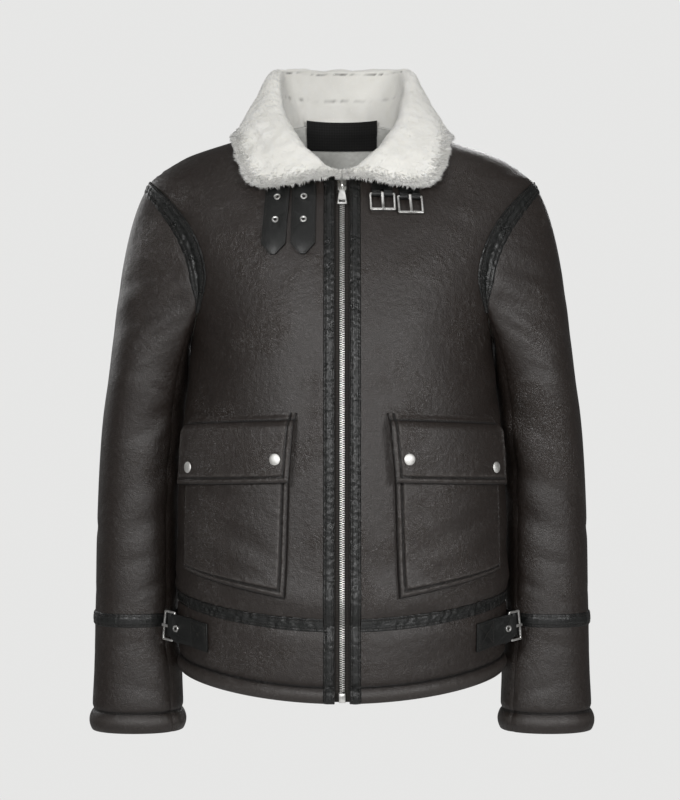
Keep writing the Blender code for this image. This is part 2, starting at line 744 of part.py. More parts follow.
# Collar
def collar_sections():
    """For each station round the neck, its seam point, and the station's row of the collar's
    table. The right half mirrors the left."""
    stations = np.arange(len(COLLAR), dtype=float)
    turns, heights = column(NECK, NECK_COLUMNS, "turn"), column(NECK, NECK_COLUMNS, "height")
    found = []
    for s in spaced(0, len(COLLAR) - 1, 18):
        row = {n: smooth(stations, column(COLLAR, COLLAR_COLUMNS, n), s) for n in COLLAR_COLUMNS}
        turn, height = smooth(stations, turns, s), smooth(stations, heights, s)
        seam = torso(turn, height)
        if turn < 1:
            seam[0] = row["roll_x"]
        found.append((seam, row))
    return found


def resting(x, y):
    """The height of the shoulders at x and y."""
    low, high = -0.12, TORSO[-1][0]
    for _ in range(24):
        middle = (low + high) / 2
        ring = lookup(TORSO, TORSO_COLUMNS, "height", middle)
        depth = ring["back"] if y > 0 else ring["front"]
        inside = (x / ring["half_width"]) ** 2 + (y / depth) ** 2 < 1
        low, high = (middle, high) if inside else (low, middle)
    return low


def collar_profile(seam, row):
    """A section of the collar: the middle of the fleece up the stand, over the fold and down the
    fall, and the way across the fleece at each point."""
    up = np.array((0.0, 0.0, 1.0))
    inner = np.array((row["roll_x"], row["roll_y"], row["roll_z"]))
    edge = np.array((row["edge_x"], row["edge_y"], row["edge_z"]))
    edge[2] = max(edge[2], resting(edge[0], edge[1]) + 0.0062)
    outward = (edge - inner) * np.array((1.0, 1.0, 0.0))
    outward = outward / np.linalg.norm(outward)
    half, bend = row["thick"] / 2, row["fold"] / 2
    centre = inner + outward * (half + bend) - up * (half + bend)
    base = seam + up * 0.0012
    # Where the stand is low, by the zip, the fold begins further over.
    first = math.radians(60) * (1 - ramp(centre[2] - base[2], 0.002, 0.014))
    top = centre - outward * bend * math.cos(first) + up * bend * math.sin(first)
    rise = (outward * math.sin(first) + up * math.cos(first)) * np.linalg.norm(top - base)
    points = []
    for t in (0.0, 0.36, 0.70):
        points.append(base * (1 + 2 * t) * (1 - t) ** 2 + rise * t * (1 - t) * (1 - 2 * t)
                      + top * t * t * (3 - 2 * t))
    fall = edge - centre
    steep = math.atan2(-fall[2], float(np.dot(fall, outward))) - row["bulge"] * 20
    last = max(math.radians(100), math.pi / 2 + steep)
    for k in range(5):
        a = first + (last - first) * k / 4
        points.append(centre - outward * bend * math.cos(a) + up * bend * math.sin(a))
    leaving = outward * math.sin(last) + up * math.cos(last)
    hand = points[-1] + leaving * np.linalg.norm(edge - points[-1]) * 0.45
    for t in (0.33, 0.67, 1.0):
        points.append(points[7] * (1 - t) ** 2 + hand * 2 * t * (1 - t) + edge * t * t)
    points = np.array(points)
    steps = np.diff(points, axis=0)
    steps = steps / np.linalg.norm(steps, axis=1, keepdims=True)
    tangents = np.vstack((steps[:1], steps[1:] + steps[:-1], steps[-1:]))
    normals = np.cross(np.cross(outward, up), tangents)
    return points, normals / np.linalg.norm(normals, axis=1, keepdims=True)


def collar():
    outer, inner = [], []
    for seam, row in collar_sections():
        points, normals = collar_profile(seam, row)
        share = np.ones(len(points))
        share[0], share[-1], share[-2] = 0.62, 0.45, 0.85
        half = normals * (row["thick"] / 2 * share)[:, None]
        outer.append(points + half)
        inner.append(points - half)
    flip = np.array((-1.0, 1.0, 1.0))
    outer = [points * flip for points in outer[:-1]] + outer[::-1]
    inner = [points * flip for points in inner[:-1]] + inner[::-1]
    wall("collar", outer, inner, FLEECE)


LABEL_HALF = 0.0440
LABEL_HEIGHTS = (0.0045, 0.0410)


def neck_label():
    """The label inside the back, just below the collar."""

    def place(x, z, out):
        ring = lookup(TORSO, TORSO_COLUMNS, "height", z)
        y = ring["back"] * math.sqrt(1 - (x / ring["half_width"]) ** 2)
        return np.array((x, y + out, z))

    columns = spaced(-LABEL_HALF, LABEL_HALF, 8)
    sheet("neck_label", place, columns, spaced(*LABEL_HEIGHTS, 4), -0.0068, -0.0083, LABEL)


# Collar straps on the right front: their middles at the top and at the tip.
STRAP_COLUMNS = ("name", "top_x", "tip_x")
STRAPS = (("outer", 0.0730, 0.0790), ("inner", 0.0438, 0.0448))
STRAP_TOP, STRAP_TIP = -0.0480, -0.1440
STRAP_HALF = 0.0138
STRAP_THICK = 0.0024
EYELETS = (-0.0760, -0.1035)


def collar_straps():
    """Two straps that hang from under the collar, each with two eyelets and a pointed tip."""
    corner = 0.0125
    rows = [STRAP_TIP, STRAP_TIP + corner] + spaced(STRAP_TIP + corner, STRAP_TOP, 6)[1:]
    for name, top_x, tip_x in STRAPS:

        def place(share, height, out, top_x=top_x, tip_x=tip_x):
            down = (STRAP_TOP - height) / (STRAP_TOP - STRAP_TIP)
            narrow = min(1.0, 0.22 + 0.78 * (height - STRAP_TIP) / corner)
            x = top_x + (tip_x - top_x) * down + share * STRAP_HALF * narrow
            return torso(-turn_at(x, height), height, out + 0.0008 * down)

        strap = sheet(f"collar_strap_{name}", place, (-1.0, -0.5, 0.0, 0.5, 1.0), rows,
                      LAID_ON + STRAP_THICK, LAID_ON, BLACK_LEATHER)
        for at, height in zip(("upper", "lower"), EYELETS):
            centre, out = place(0.0, height, LAID_ON), place(0.0, height, LAID_ON + STRAP_THICK)
            axis = out - centre
            hole = turned(f"cut_{name}_{at}", EYELET_HOLE, centre, axis, 12, None)
            apply_boolean(strap, hole, "DIFFERENCE")
            turned(f"eyelet_{name}_{at}", eyelet_ring(STRAP_THICK), centre, axis, 12, NICKEL)


# Collar buckles on the left front: the middle of each bar that hangs in its leather loop.
BUCKLE_COLUMNS = ("name", "bar_x", "bar_height")
BUCKLES = (("inner", 0.0462, -0.0735), ("outer", 0.0778, -0.0765))
BUCKLE_HALF = 0.0152
BUCKLE_DEEP = 0.0225
WIRE = 0.0013
BAR_OUT = 0.0040
PRONG_HALF = 0.0016
PRONG_METAL = 0.0012
EYE = WIRE * 1.45 + 0.0003

# A buckle's frame has its x along the bar it hangs on, its z off the leather and its far bar
# at -y. EDGEWISE turns a plate's outline so that its x becomes y, its y becomes z and its z x.
EDGEWISE = Matrix(((0, 0, 1, 0), (1, 0, 0, 0), (0, 1, 0, 0), (0, 0, 0, 1)))


def arc(radius, start, end, middle=0.0, steps=7):
    angles = [math.radians(start + (end - start) * k / steps) for k in range(steps + 1)]
    return [(radius * math.cos(a), middle + radius * math.sin(a)) for a in angles]


def buckle(name, frame, half, deep, out):
    """A rectangular wire buckle whose near bar is at the frame's origin, out metres up."""
    outer = box_outline(-half, half, -deep, WIRE, 0.0016)
    inner = box_outline(-half + 2 * WIRE, half - 2 * WIRE, -deep + 2 * WIRE, -WIRE)
    plate = prism(name, outer, out - WIRE, out + WIRE, frame, NICKEL)
    cut = prism("cut_" + name, inner, out - 0.01, out + 0.01, frame, None)
    return apply_boolean(plate, cut, "DIFFERENCE")


def prong(name, frame, deep, out):
    """A prong with an open eye round the near bar, lying over the far one."""
    outline = arc(EYE + PRONG_METAL, -120, 90, out)
    outline += [(-deep - 0.0004, out + EYE + PRONG_METAL), (-deep - 0.0004, out + WIRE + 0.0004)]
    outline += [(-deep + 0.0030, out + WIRE + 0.0004), (-deep + 0.0045, out + EYE)]
    outline += arc(EYE, 90, -120, out)
    return prism(name, outline, -PRONG_HALF, PRONG_HALF, frame @ EDGEWISE, NICKEL)


def collar_buckles():
    """Two open buckles, each in a short leather loop that comes from under the collar."""
    for name, x, height in BUCKLES:
        turn = turn_at(x, height)
        around = torso_base(turn + 1, height) - torso_base(turn - 1, height)
        frame = frame_matrix(torso(turn, height), around, torso_normal(turn, height))
        bar = frame @ Vector((0, 0, BAR_OUT))
        hang_at(buckle(f"buckle_{name}", frame, BUCKLE_HALF, BUCKLE_DEEP, BAR_OUT), bar)
        hang_at(prong(f"buckle_prong_{name}", frame, BUCKLE_DEEP, BAR_OUT), bar)
        thick = 0.0012
        outline = [(0.0200, 0.0026), (0.0080, 0.0026), (0.0035, BAR_OUT + EYE + thick)]
        outline += arc(EYE + thick, 90, 270, BAR_OUT)
        outline += [(0.0035, 0.0006), (0.0200, 0.0006)]
        loop = prism(f"buckle_loop_{name}", outline, -0.0120, 0.0120, frame @ EDGEWISE, BLACK_LEATHER)
        hollow = arc(EYE, 90, 270, BAR_OUT) + [(0.0030, BAR_OUT - EYE), (0.0030, BAR_OUT + EYE)]
        cut = prism("cut_bar", hollow, -0.02, 0.02, frame @ EDGEWISE, None)
        apply_boolean(loop, cut, "DIFFERENCE")
        opening = box_outline(-0.0020, 0.0020, -0.0080, 0.0070)
        slot = prism("cut_slot", opening, -0.004, 0.012, frame, None)
        apply_boolean(loop, slot, "DIFFERENCE")


# Side tabs at the waist. Each tab is sewn to the hem panel, then stands straight off the body.
# A buckle lies under its tip, and a strap from the side ends under the buckle.
TAB_START = -0.5875
TAB_SLOPE = 0.115
STRAP_MIDDLE = -0.5790
TAB_HALF = 0.0165
TAB_THICK = 0.0022
TAB_AWAY = (0.83, 0.56)
TAB_OFF = 0.0340
TAB_EYELET = 0.0215
TAB_BAR = 0.0295
SIDE_BUCKLE_HALF = 0.0180
SIDE_BUCKLE_DEEP = 0.0155
TAB_TO_BAR = TAB_THICK + 0.0003 + EYE + PRONG_METAL
# The strap's end under the buckle: how far out along the tab, and how deep below the wire.
STRAP_END = ((0.0482, 0.0079), (0.0466, 0.0034), (0.0430, 0.0012), (0.0385, 0.0008), (0.0350, 0.0012))


def body_xy(turn, z, out):
    """Where the body's side is, seen from above, at a true height z."""
    return torso(turn, z - drop(turn, z), out)[:2]


def upright(name, path, thick, middle, half, look, side, round_end=0.0, slope=0.0):
    """An upright strip of leather. path(z) gives its outer face from above, as a list of x and y;
    round_end rounds its far end off, and slope is how steeply the strip rises along its length."""
    guide = path(middle)
    length = np.concatenate(([0], np.cumsum([np.linalg.norm(b - a) for a, b in zip(guide, guide[1:])])))
    outer, inner = [], []
    for i in range(len(guide)):
        left = length[-1] - length[i]
        share = 1.0
        if left < round_end:
            share = max(0.30, math.sqrt(1 - (1 - left / round_end) ** 2))
        out_row, in_row = [], []
        rise = middle + slope * length[i]
        for z in (rise - half * share, rise, rise + half * share):
            line = path(z)
            step = line[min(len(line) - 1, i + 1)] - line[max(0, i - 1)]
            normal = np.array((step[1], -step[0])) / np.linalg.norm(step)
            near = line[i] - normal * thick
            out_row.append((side * line[i][0], line[i][1], z))
            in_row.append((side * near[0], near[1], z))
        outer.append(out_row)
        inner.append(in_row)
    return wall(name, outer, inner, look)


def side_tabs():
    away = np.array(TAB_AWAY) / np.linalg.norm(TAB_AWAY)
    off = np.array((away[1], -away[0]))

    def tab_path(z):
        sewn = [body_xy(t, z, LAID_ON + TAB_THICK) for t in (50.5, 54.0, 57.8, 61.5)]
        return sewn + [sewn[-1] + away * d for d in (0.010, 0.018, 0.022, 0.026, 0.030, 0.0325, TAB_OFF)]

    corner = tab_path(TAB_START)[3]
    reach = np.linalg.norm(corner - tab_path(TAB_START)[0])

    def tab_height(out):
        """The height of the tab's middle, out metres along it from where it leaves the body."""
        return TAB_START + TAB_SLOPE * (reach + out)

    def strap_path(z):
        """From the side to the buckle, thick on the side away from the sleeve."""
        sewn = [body_xy(t, z, LAID_ON + 0.0020) for t in (106.0, 101.0, 96.0, 91.0, 86.5)]
        under = [corner + away * d - off * (TAB_TO_BAR + WIRE + dip) for d, dip in STRAP_END]
        return sewn + [sewn[-1] * 0.6 + under[0] * 0.4 + np.array((-0.0005, 0.0))] + under

    for side, label in ((-1, "right"), (1, "left")):
        mirror = np.array((side, 1.0))
        tab = upright(f"side_tab_{label}", tab_path, TAB_THICK, TAB_START, TAB_HALF, BLACK_LEATHER,
                      side, 0.012, TAB_SLOPE)
        outward = (*(off * mirror), 0.0)
        spot = corner + away * TAB_EYELET - off * TAB_THICK
        base = np.array((*(spot * mirror), tab_height(TAB_EYELET)))
        hole = turned(f"cut_{label}", EYELET_HOLE, base, outward, 12, None)
        apply_boolean(tab, hole, "DIFFERENCE")
        turned(f"side_eyelet_{label}", eyelet_ring(TAB_THICK), base, outward, 12, NICKEL)
        upright(f"side_strap_{label}", strap_path, -0.0020, STRAP_MIDDLE, 0.0145, BLACK_LEATHER, side)
        bar = corner + away * TAB_BAR - off * TAB_TO_BAR
        across = np.array((*(-TAB_SLOPE * away * mirror), 1.0)) * side
        frame = frame_matrix((*(bar * mirror), tab_height(TAB_BAR)), across, outward)
        buckle(f"side_buckle_{label}", frame, SIDE_BUCKLE_HALF, SIDE_BUCKLE_DEEP, 0.0)
        prong(f"side_prong_{label}", frame, SIDE_BUCKLE_DEEP, 0.0)


def build():
    for side, label in ((-1, "right"), (1, "left")):
        front_panel(side, label)
        zip_trim(side, label)
        armhole_trim(side, label)
        sleeve_panels(side, label)
        pocket(side, label)
    back_panel()
    hem_panel("hem_left", None, 90.0, 8)
    hem_panel("hem_right", -90.0, None, 8)
    hem_panel("hem_back", 90.0, 270.0, 16)
    turns = [turn_at(0.0216, WAIST)] + spaced(turn_at(ZIP_OPENING, WAIST), 89.94, 8)[1:]
    waist_trim("waist_trim_left", turns)
    waist_trim("waist_trim_right", [-t for t in turns])
    waist_trim("waist_trim_back", spaced(90.06, 269.94, 16))
    zip_parts()
    collar()
    neck_label()
    collar_straps()
    collar_buckles()
    side_tabs()


build()
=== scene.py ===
"""Looks of the shearling jacket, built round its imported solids.

Metres, +Z up. The front faces -Y and the wearer's left arm is at +X. The hide panels, trims and
pockets are fine walls on the forms of their solids, with creases, puckers and sewing. The collar is
a wall of fleece with tufts on it, and the metal pieces are modelled one by one.
"""

import math

import bmesh
import bpy
import numpy as np
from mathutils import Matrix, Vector
from mathutils.kdtree import KDTree


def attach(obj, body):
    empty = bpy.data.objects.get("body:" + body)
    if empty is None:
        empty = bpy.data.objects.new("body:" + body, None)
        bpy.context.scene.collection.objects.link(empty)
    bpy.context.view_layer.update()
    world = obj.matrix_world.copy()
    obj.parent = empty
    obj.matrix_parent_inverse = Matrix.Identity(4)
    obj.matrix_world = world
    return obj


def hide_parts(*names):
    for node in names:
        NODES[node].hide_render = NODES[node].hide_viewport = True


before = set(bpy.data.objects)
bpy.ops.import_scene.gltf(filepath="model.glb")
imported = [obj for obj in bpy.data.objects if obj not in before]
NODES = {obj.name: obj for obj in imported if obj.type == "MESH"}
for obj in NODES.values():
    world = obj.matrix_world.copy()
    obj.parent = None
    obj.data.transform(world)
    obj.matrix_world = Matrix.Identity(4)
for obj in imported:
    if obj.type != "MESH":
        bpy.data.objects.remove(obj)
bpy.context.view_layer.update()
JACKET = "jacket"

# The jacket's own sizes, as in its source
HIDE = 0.0040
LEATHER = 0.0015
SEAM_GAP = 0.0003
LAID_ON = 0.0004
ZIP_OPENING = 0.0085
WAIST = -0.5665
HEM = -0.6550
HEM_GROOVE = -0.6370
TRIM_TOP = -0.0525
UNDERARM = -0.2400
SHOULDER = -0.0490
NECK_SIDE = 0.0220
ARMHOLE_FRONT = 33.5
ARMHOLE_BACK = 30.0
ARMHOLE_MIDDLE = (SHOULDER + UNDERARM) / 2
ARMHOLE_HALF = (SHOULDER - UNDERARM) / 2
TORSO_SQUARENESS = 0.012
CUFF = -0.7130
CUFF_GROOVE = -0.6890
ROLL_BULGE = 0.0040
UNDER_SLEEVE = (140.0, 220.0)
SLEEVE_BAND = (-0.5850, -0.5690)

# Metres round the body and round a sleeve for each degree, for the pitch of waves along them
BODY_DEGREE = 0.0033
SLEEVE_DEGREE = 0.00092
# Half a seam's gap, in degrees round the body and round a sleeve
BODY_GAP = math.degrees(SEAM_GAP / 2 / 0.15)
SLEEVE_GAP = math.degrees(SEAM_GAP / 2 / 0.05)
# How far the body puffs out above its waist seam, and is drawn in at it
WAIST_PUFF = 0.0030
WAIST_PINCH = 0.0035
# The depth of the stitched groove above a turned edge
EDGE_GROOVE = 0.0020
# How much the neck rises at the back, from which height up, and how much less the hem drops there
NAPE_RISE, NAPE_START = 0.018, -0.06
BACK_LEVEL = 0.35
# How the sleeve's head leaves the armhole, how hard, and how it comes down on its first level ring
HEAD_WAY = (0.61, -0.10, -0.79)
HEAD_PULL = (0.515, 0.15, 0.40)
HEAD_END = (-0.13, 0.0, 1.0)
HEAD_END_PULL = 0.80
# Folds fade out beside the zip, between two turns, and under the straps and buckles.
BY_ZIP = (6.5, 11.0)
STRAP_TURN, STRAP_LEVEL = 17.0, -0.09
# The depth of the sewn seams, and the height of the puckers along waist, armhole, head and band
SIDE_SEAM, SLEEVE_SEAM = 0.0012, 0.0010
WAIST_PUCKER, ARMHOLE_PUCKER, HEAD_PUCKER, BAND_PUCKER = 0.0009, 0.0008, 0.0009, 0.0006

TORSO_COLUMNS = ("height", "half_width", "front", "back")
TORSO = (
    (-0.690, 0.191, 0.142, 0.137),
    (-0.640, 0.195, 0.146, 0.140),
    (-0.600, 0.199, 0.148, 0.140),
    (-0.560, 0.200, 0.148, 0.137),
    (-0.500, 0.201, 0.147, 0.131),
    (-0.433, 0.200, 0.146, 0.127),
    (-0.380, 0.197, 0.145, 0.126),
    (-0.330, 0.192, 0.143, 0.126),
    (-0.280, 0.186, 0.141, 0.128),
    (-0.240, 0.183, 0.139, 0.130),
    (-0.200, 0.190, 0.134, 0.130),
    (-0.150, 0.204, 0.124, 0.128),
    (-0.100, 0.221, 0.107, 0.122),
    (-0.070, 0.230, 0.092, 0.115),
    (-0.049, 0.2335, 0.080, 0.109),
    (-0.036, 0.2205, 0.073, 0.105),
    (-0.026, 0.206, 0.0675, 0.1015),
    (-0.016, 0.188, 0.061, 0.098),
    (-0.006, 0.160, 0.054, 0.0935),
    (0.004, 0.128, 0.0475, 0.0885),
    (0.012, 0.104, 0.0425, 0.084),
    (0.018, 0.088, 0.039, 0.080),
    (0.024, 0.076, 0.036, 0.076),
    (0.044, 0.066, 0.034, 0.069),
)

RISE_COLUMNS = ("height", "rise")
RISE = (
    (-0.690, 0.0180),
    (-0.655, 0.0190),
    (-0.610, 0.0208),
    (-0.566, 0.0215),
    (-0.540, 0.0130),
    (-0.510, 0.0050),
    (-0.450, 0.0000),
)

NECK_COLUMNS = ("turn", "height")
NECK = (
    (0.25, -0.0490),
    (3.1, -0.0475),
    (7.6, -0.0420),
    (13.0, -0.0300),
    (17.3, -0.0180),
    (22.7, -0.0080),
    (36.5, 0.0060),
    (84.0, 0.0215),
    (104.0, 0.0220),
    (128.0, 0.0220),
    (150.0, 0.0220),
    (180.0, 0.0220),
)

COLLAR_COLUMNS = ("roll_x", "roll_y", "roll_z", "edge_x", "edge_y", "edge_z", "bulge", "thick", "fold")
COLLAR = (
    (0.0012, -0.083, -0.0415, 0.0012, -0.097, -0.0495, 0.001, 0.0045, 0.0060),
    (0.0140, -0.080, -0.0360, 0.0260, -0.098, -0.0520, 0.002, 0.0055, 0.0085),
    (0.0280, -0.073, -0.0205, 0.0540, -0.097, -0.0580, 0.003, 0.0080, 0.0120),
    (0.0415, -0.061, -0.006, 0.0840, -0.093, -0.0620, 0.004, 0.0095, 0.0150),
    (0.0500, -0.049, 0.0075, 0.1060, -0.086, -0.0560, 0.004, 0.0095, 0.0150),
    (0.0580, -0.037, 0.022, 0.1190, -0.064, -0.0310, 0.004, 0.0095, 0.0150),
    (0.0655, -0.020, 0.0415, 0.1270, -0.036, -0.0120, 0.005, 0.0095, 0.0150),
    (0.0710, 0.002, 0.0655, 0.1300, 0.000, 0.0020, 0.006, 0.0095, 0.0150),
    (0.0735, 0.024, 0.088, 0.1240, 0.032, 0.0020, 0.006, 0.0095, 0.0150),
    (0.0710, 0.048, 0.104, 0.1020, 0.070, -0.0020, 0.007, 0.0095, 0.0150),
    (0.0480, 0.062, 0.108, 0.0600, 0.094, -0.0040, 0.007, 0.0095, 0.0150),
    (0.0000, 0.068, 0.109, 0.0000, 0.104, -0.0040, 0.007, 0.0095, 0.0150),
)

SLEEVE_COLUMNS = ("height", "inner", "outer", "half_depth", "middle_y")
SLEEVE = (
    (-0.290, 0.1880, 0.2865, 0.0620, 0.015),
    (-0.330, 0.1920, 0.2930, 0.0610, 0.021),
    (-0.370, 0.1962, 0.2970, 0.0600, 0.024),
    (-0.433, 0.2000, 0.3005, 0.0575, 0.026),
    (-0.500, 0.2018, 0.3025, 0.0550, 0.026),
    (-0.545, 0.2015, 0.3030, 0.0530, 0.025),
    (-0.573, 0.2035, 0.3035, 0.0510, 0.024),
    (-0.605, 0.2030, 0.3040, 0.0490, 0.023),
    (-0.640, 0.1980, 0.3045, 0.0460, 0.020),
    (-0.690, 0.1950, 0.3060, 0.0420, 0.015),
    (-0.720, 0.1950, 0.3060, 0.0410, 0.015),
)
SLEEVE_TOP = SLEEVE[0][0]

# Large folds of the sleeves, as in the solid: height, degrees round the arm, half length in degrees,
# half width, and depth into the arm.
FOLDS = (
    (-0.160, 62.0, 40.0, 0.012, 0.0030),
    (-0.205, 78.0, 44.0, 0.014, 0.0035),
    (-0.330, 125.0, 36.0, 0.015, 0.0034),
    (-0.395, 140.0, 36.0, 0.014, 0.0034),
    (-0.455, 120.0, 40.0, 0.016, 0.0030),
    (-0.400, 290.0, 42.0, 0.016, 0.0030),
)
# Finer creases, with a slope before the depth. A negative depth is a ridge.
CREASES = (
    (-0.118, 70.0, 26.0, 0.0055, 0.00060, 0.0014),
    (-0.183, 66.0, 24.0, 0.0050, 0.00090, 0.0016),
    (-0.232, 96.0, 30.0, 0.0060, 0.00075, 0.0018),
    (-0.268, 80.0, 20.0, 0.0045, 0.00040, -0.0012),
    (-0.300, 118.0, 26.0, 0.0060, -0.00040, 0.0016),
    (-0.352, 100.0, 30.0, 0.0070, 0.00030, 0.0015),
    (-0.258, 180.0, 44.0, 0.0260, 0.0, -0.0020),
    (-0.428, 60.0, 22.0, 0.0075, 0.00050, 0.0012),
    (-0.470, 20.0, 30.0, 0.0080, -0.00030, 0.0012),
    (-0.505, 95.0, 34.0, 0.0080, 0.00020, 0.0013),
    (-0.535, 120.0, 22.0, 0.0060, 0.00040, 0.0014),
    (-0.622, 182.0, 26.0, 0.0260, 0.0, -0.0018),
    (-0.548, 40.0, 28.0, 0.0055, -0.00015, 0.0010),
    (-0.608, 70.0, 40.0, 0.0065, 0.00020, 0.0012),
    (-0.660, 110.0, 34.0, 0.0070, -0.00020, 0.0012),
    (-0.130, 300.0, 30.0, 0.0060, -0.00060, 0.0016),
    (-0.190, 284.0, 34.0, 0.0065, -0.00080, 0.0018),
    (-0.250, 270.0, 30.0, 0.0060, -0.00050, 0.0016),
    (-0.340, 250.0, 28.0, 0.0070, 0.00050, 0.0018),
    (-0.425, 262.0, 36.0, 0.0080, 0.00030, 0.0016),
    (-0.520, 240.0, 32.0, 0.0075, -0.00030, 0.0015),
    (-0.640, 280.0, 36.0, 0.0070, 0.00020, 0.0012),
)

# Folds of the body: turn round it, height, half turn, half height, slope and depth.
BODY_FOLDS = (
    (62.0, -0.262, 16.0, 0.012, 0.00120, 0.0022),
    (72.0, -0.300, 18.0, 0.010, 0.00080, 0.0018),
    (58.0, -0.228, 12.0, 0.009, 0.00200, 0.0014),
    (40.0, -0.290, 14.0, 0.016, -0.0006, -0.0012),
    (30.0, -0.205, 16.0, 0.022, 0.0004, -0.0014),
    (18.0, -0.120, 10.0, 0.014, 0.0010, 0.0012),
    (34.0, -0.092, 10.0, 0.010, -0.0008, 0.0012),
    (90.0, -0.258, 13.0, 0.026, 0.0, -0.0018),
    (74.0, -0.400, 12.0, 0.014, -0.0010, 0.0018),
    (78.0, -0.480, 13.0, 0.012, 0.0008, 0.0022),
    (84.0, -0.535, 16.0, 0.008, 0.0002, 0.0024),
    (24.0, -0.548, 12.0, 0.007, 0.0003, 0.0012),
    (52.0, -0.549, 11.0, 0.006, -0.0003, 0.0014),
    (12.0, -0.300, 6.0, 0.060, 0.0, 0.0012),
    (14.0, -0.470, 5.0, 0.070, 0.0, 0.0012),
    (30.0, -0.600, 12.0, 0.012, 0.0004, 0.0012),
    (60.0, -0.612, 12.0, 0.010, -0.0003, 0.0014),
    (110.0, -0.275, 20.0, 0.014, -0.0010, 0.0026),
    (118.0, -0.330, 22.0, 0.012, -0.0006, 0.0022),
    (128.0, -0.225, 16.0, 0.014, -0.0014, 0.0020),
    (150.0, -0.180, 16.0, 0.020, 0.0006, -0.0018),
    (168.0, -0.095, 14.0, 0.012, 0.0004, 0.0016),
    (140.0, -0.110, 14.0, 0.010, -0.0008, 0.0014),
    (105.0, -0.430, 15.0, 0.015, 0.0008, 0.0024),
    (126.0, -0.485, 22.0, 0.013, -0.0004, 0.0022),
    (160.0, -0.455, 20.0, 0.017, 0.0003, 0.0018),
    (150.0, -0.530, 24.0, 0.010, 0.0002, 0.0024),
    (112.0, -0.540, 16.0, 0.008, -0.0003, 0.0022),
    (172.0, -0.545, 14.0, 0.008, 0.0, 0.0016),
    (170.0, -0.330, 7.0, 0.080, 0.0, 0.0016),
    (130.0, -0.605, 16.0, 0.011, 0.0004, 0.0014),
    (165.0, -0.610, 14.0, 0.010, -0.0003, 0.0014),
)
# On the wearer's left the folds lie this much further round and higher, and are this much as deep.
LEFT_TURN, LEFT_RISE, LEFT_DEPTH = 3.0, -0.011, 0.86


def table_columns(table, names):
    return {n: np.array([row[i] for row in table], float) for i, n in enumerate(names)}


def smooth(xs, ys, x):
    """A smooth curve through the points, with no overshoot between them, at every x."""
    order = np.argsort(xs)
    xs, ys = xs[order], ys[order]
    steps = np.diff(xs)
    slopes = np.diff(ys) / steps
    ends = np.zeros(len(xs))
    ends[0], ends[-1] = slopes[0], slopes[-1]
    for i in range(1, len(xs) - 1):
        if slopes[i - 1] * slopes[i] > 0:
            a, b = 2 * steps[i] + steps[i - 1], steps[i] + 2 * steps[i - 1]
            ends[i] = (a + b) / (a / slopes[i - 1] + b / slopes[i])
    x = np.clip(x, xs[0], xs[-1])
    i = np.clip(np.searchsorted(xs, x) - 1, 0, len(xs) - 2)
    t = (x - xs[i]) / steps[i]
    rise = ys[i] * (1 + 2 * t) * (1 - t) ** 2 + ys[i + 1] * t * t * (3 - 2 * t)
    return rise + (ends[i] * (1 - t) - ends[i + 1] * t) * steps[i] * t * (1 - t)


BODY_AT = table_columns(TORSO, TORSO_COLUMNS)
NECK_AT = table_columns(NECK, NECK_COLUMNS)
RISE_AT = table_columns(RISE, RISE_COLUMNS)
COLLAR_AT = table_columns(COLLAR, COLLAR_COLUMNS)
SLEEVE_AT = table_columns(SLEEVE, SLEEVE_COLUMNS)


def body_size(name, z):
    return smooth(BODY_AT["height"], BODY_AT[name], z)


def sleeve_size(name, z):
    return smooth(SLEEVE_AT["height"], SLEEVE_AT[name], z)


def ramp(x, low, high):
    """0 below low, 1 above high, smooth between."""
    t = np.clip((x - low) / (high - low), 0, 1)
    return t * t * (3 - 2 * t)


def hill(x, half):
    """1 at 0, falling off on both sides of it."""
    return np.exp(-((x / half) ** 2))


def ripple(along, pitch, seed):
    """An uneven wave along a seam, from -1 to 1."""
    t = along / pitch * 2 * math.pi
    swing = np.sin(t * 0.37 + seed * 1.7) * 1.6 + np.sin(t * 0.13 + seed) * 2.1
    return 0.6 * np.sin(t + swing + seed * 5.1) + 0.4 * np.sin(t * 1.73 + swing * 0.6 + seed * 2.3)


def uneven(points, size, seed):
    """Slow unevenness over space, from about -1 to 1."""
    rng = np.random.default_rng(seed)
    total = np.zeros(points.shape[:-1])
    for k in range(7):
        way = rng.normal(size=3)
        way = way / np.linalg.norm(way) * 2 * math.pi / (size * rng.uniform(0.6, 1.7))
        total += np.sin(points @ way + rng.uniform(0, 6.28))
    return total / 3.2


def unit(v):
    return v / np.maximum(np.linalg.norm(v, axis=-1, keepdims=True), 1e-12)


def pinch(height):
    """The body puffs out above the waist seam and is drawn in at it."""
    return WAIST_PUFF * hill(height - WAIST - 0.028, 0.022) - WAIST_PINCH * hill(height - WAIST, 0.010)


def torso_base(turn, height):
    turn, height = np.broadcast_arrays(np.asarray(turn, float), np.asarray(height, float))
    sine, cosine = np.sin(np.radians(turn)), np.cos(np.radians(turn))
    behind = cosine < 0
    low = smooth(RISE_AT["height"], RISE_AT["rise"], height)
    nape = NAPE_RISE * ramp(height, NAPE_START, NECK_SIDE) * cosine**2
    z = height + np.where(behind, low * (1 - BACK_LEVEL * cosine**2) + nape, low * sine**2)
    full = 1 + TORSO_SQUARENESS * (2 * sine * cosine) ** 2
    depth = np.where(behind, body_size("back", z), body_size("front", z))
    puff = pinch(height)
    x = (body_size("half_width", z) * full + puff) * sine
    y = -(depth * full + puff) * cosine
    return np.stack((x, y, z), -1)


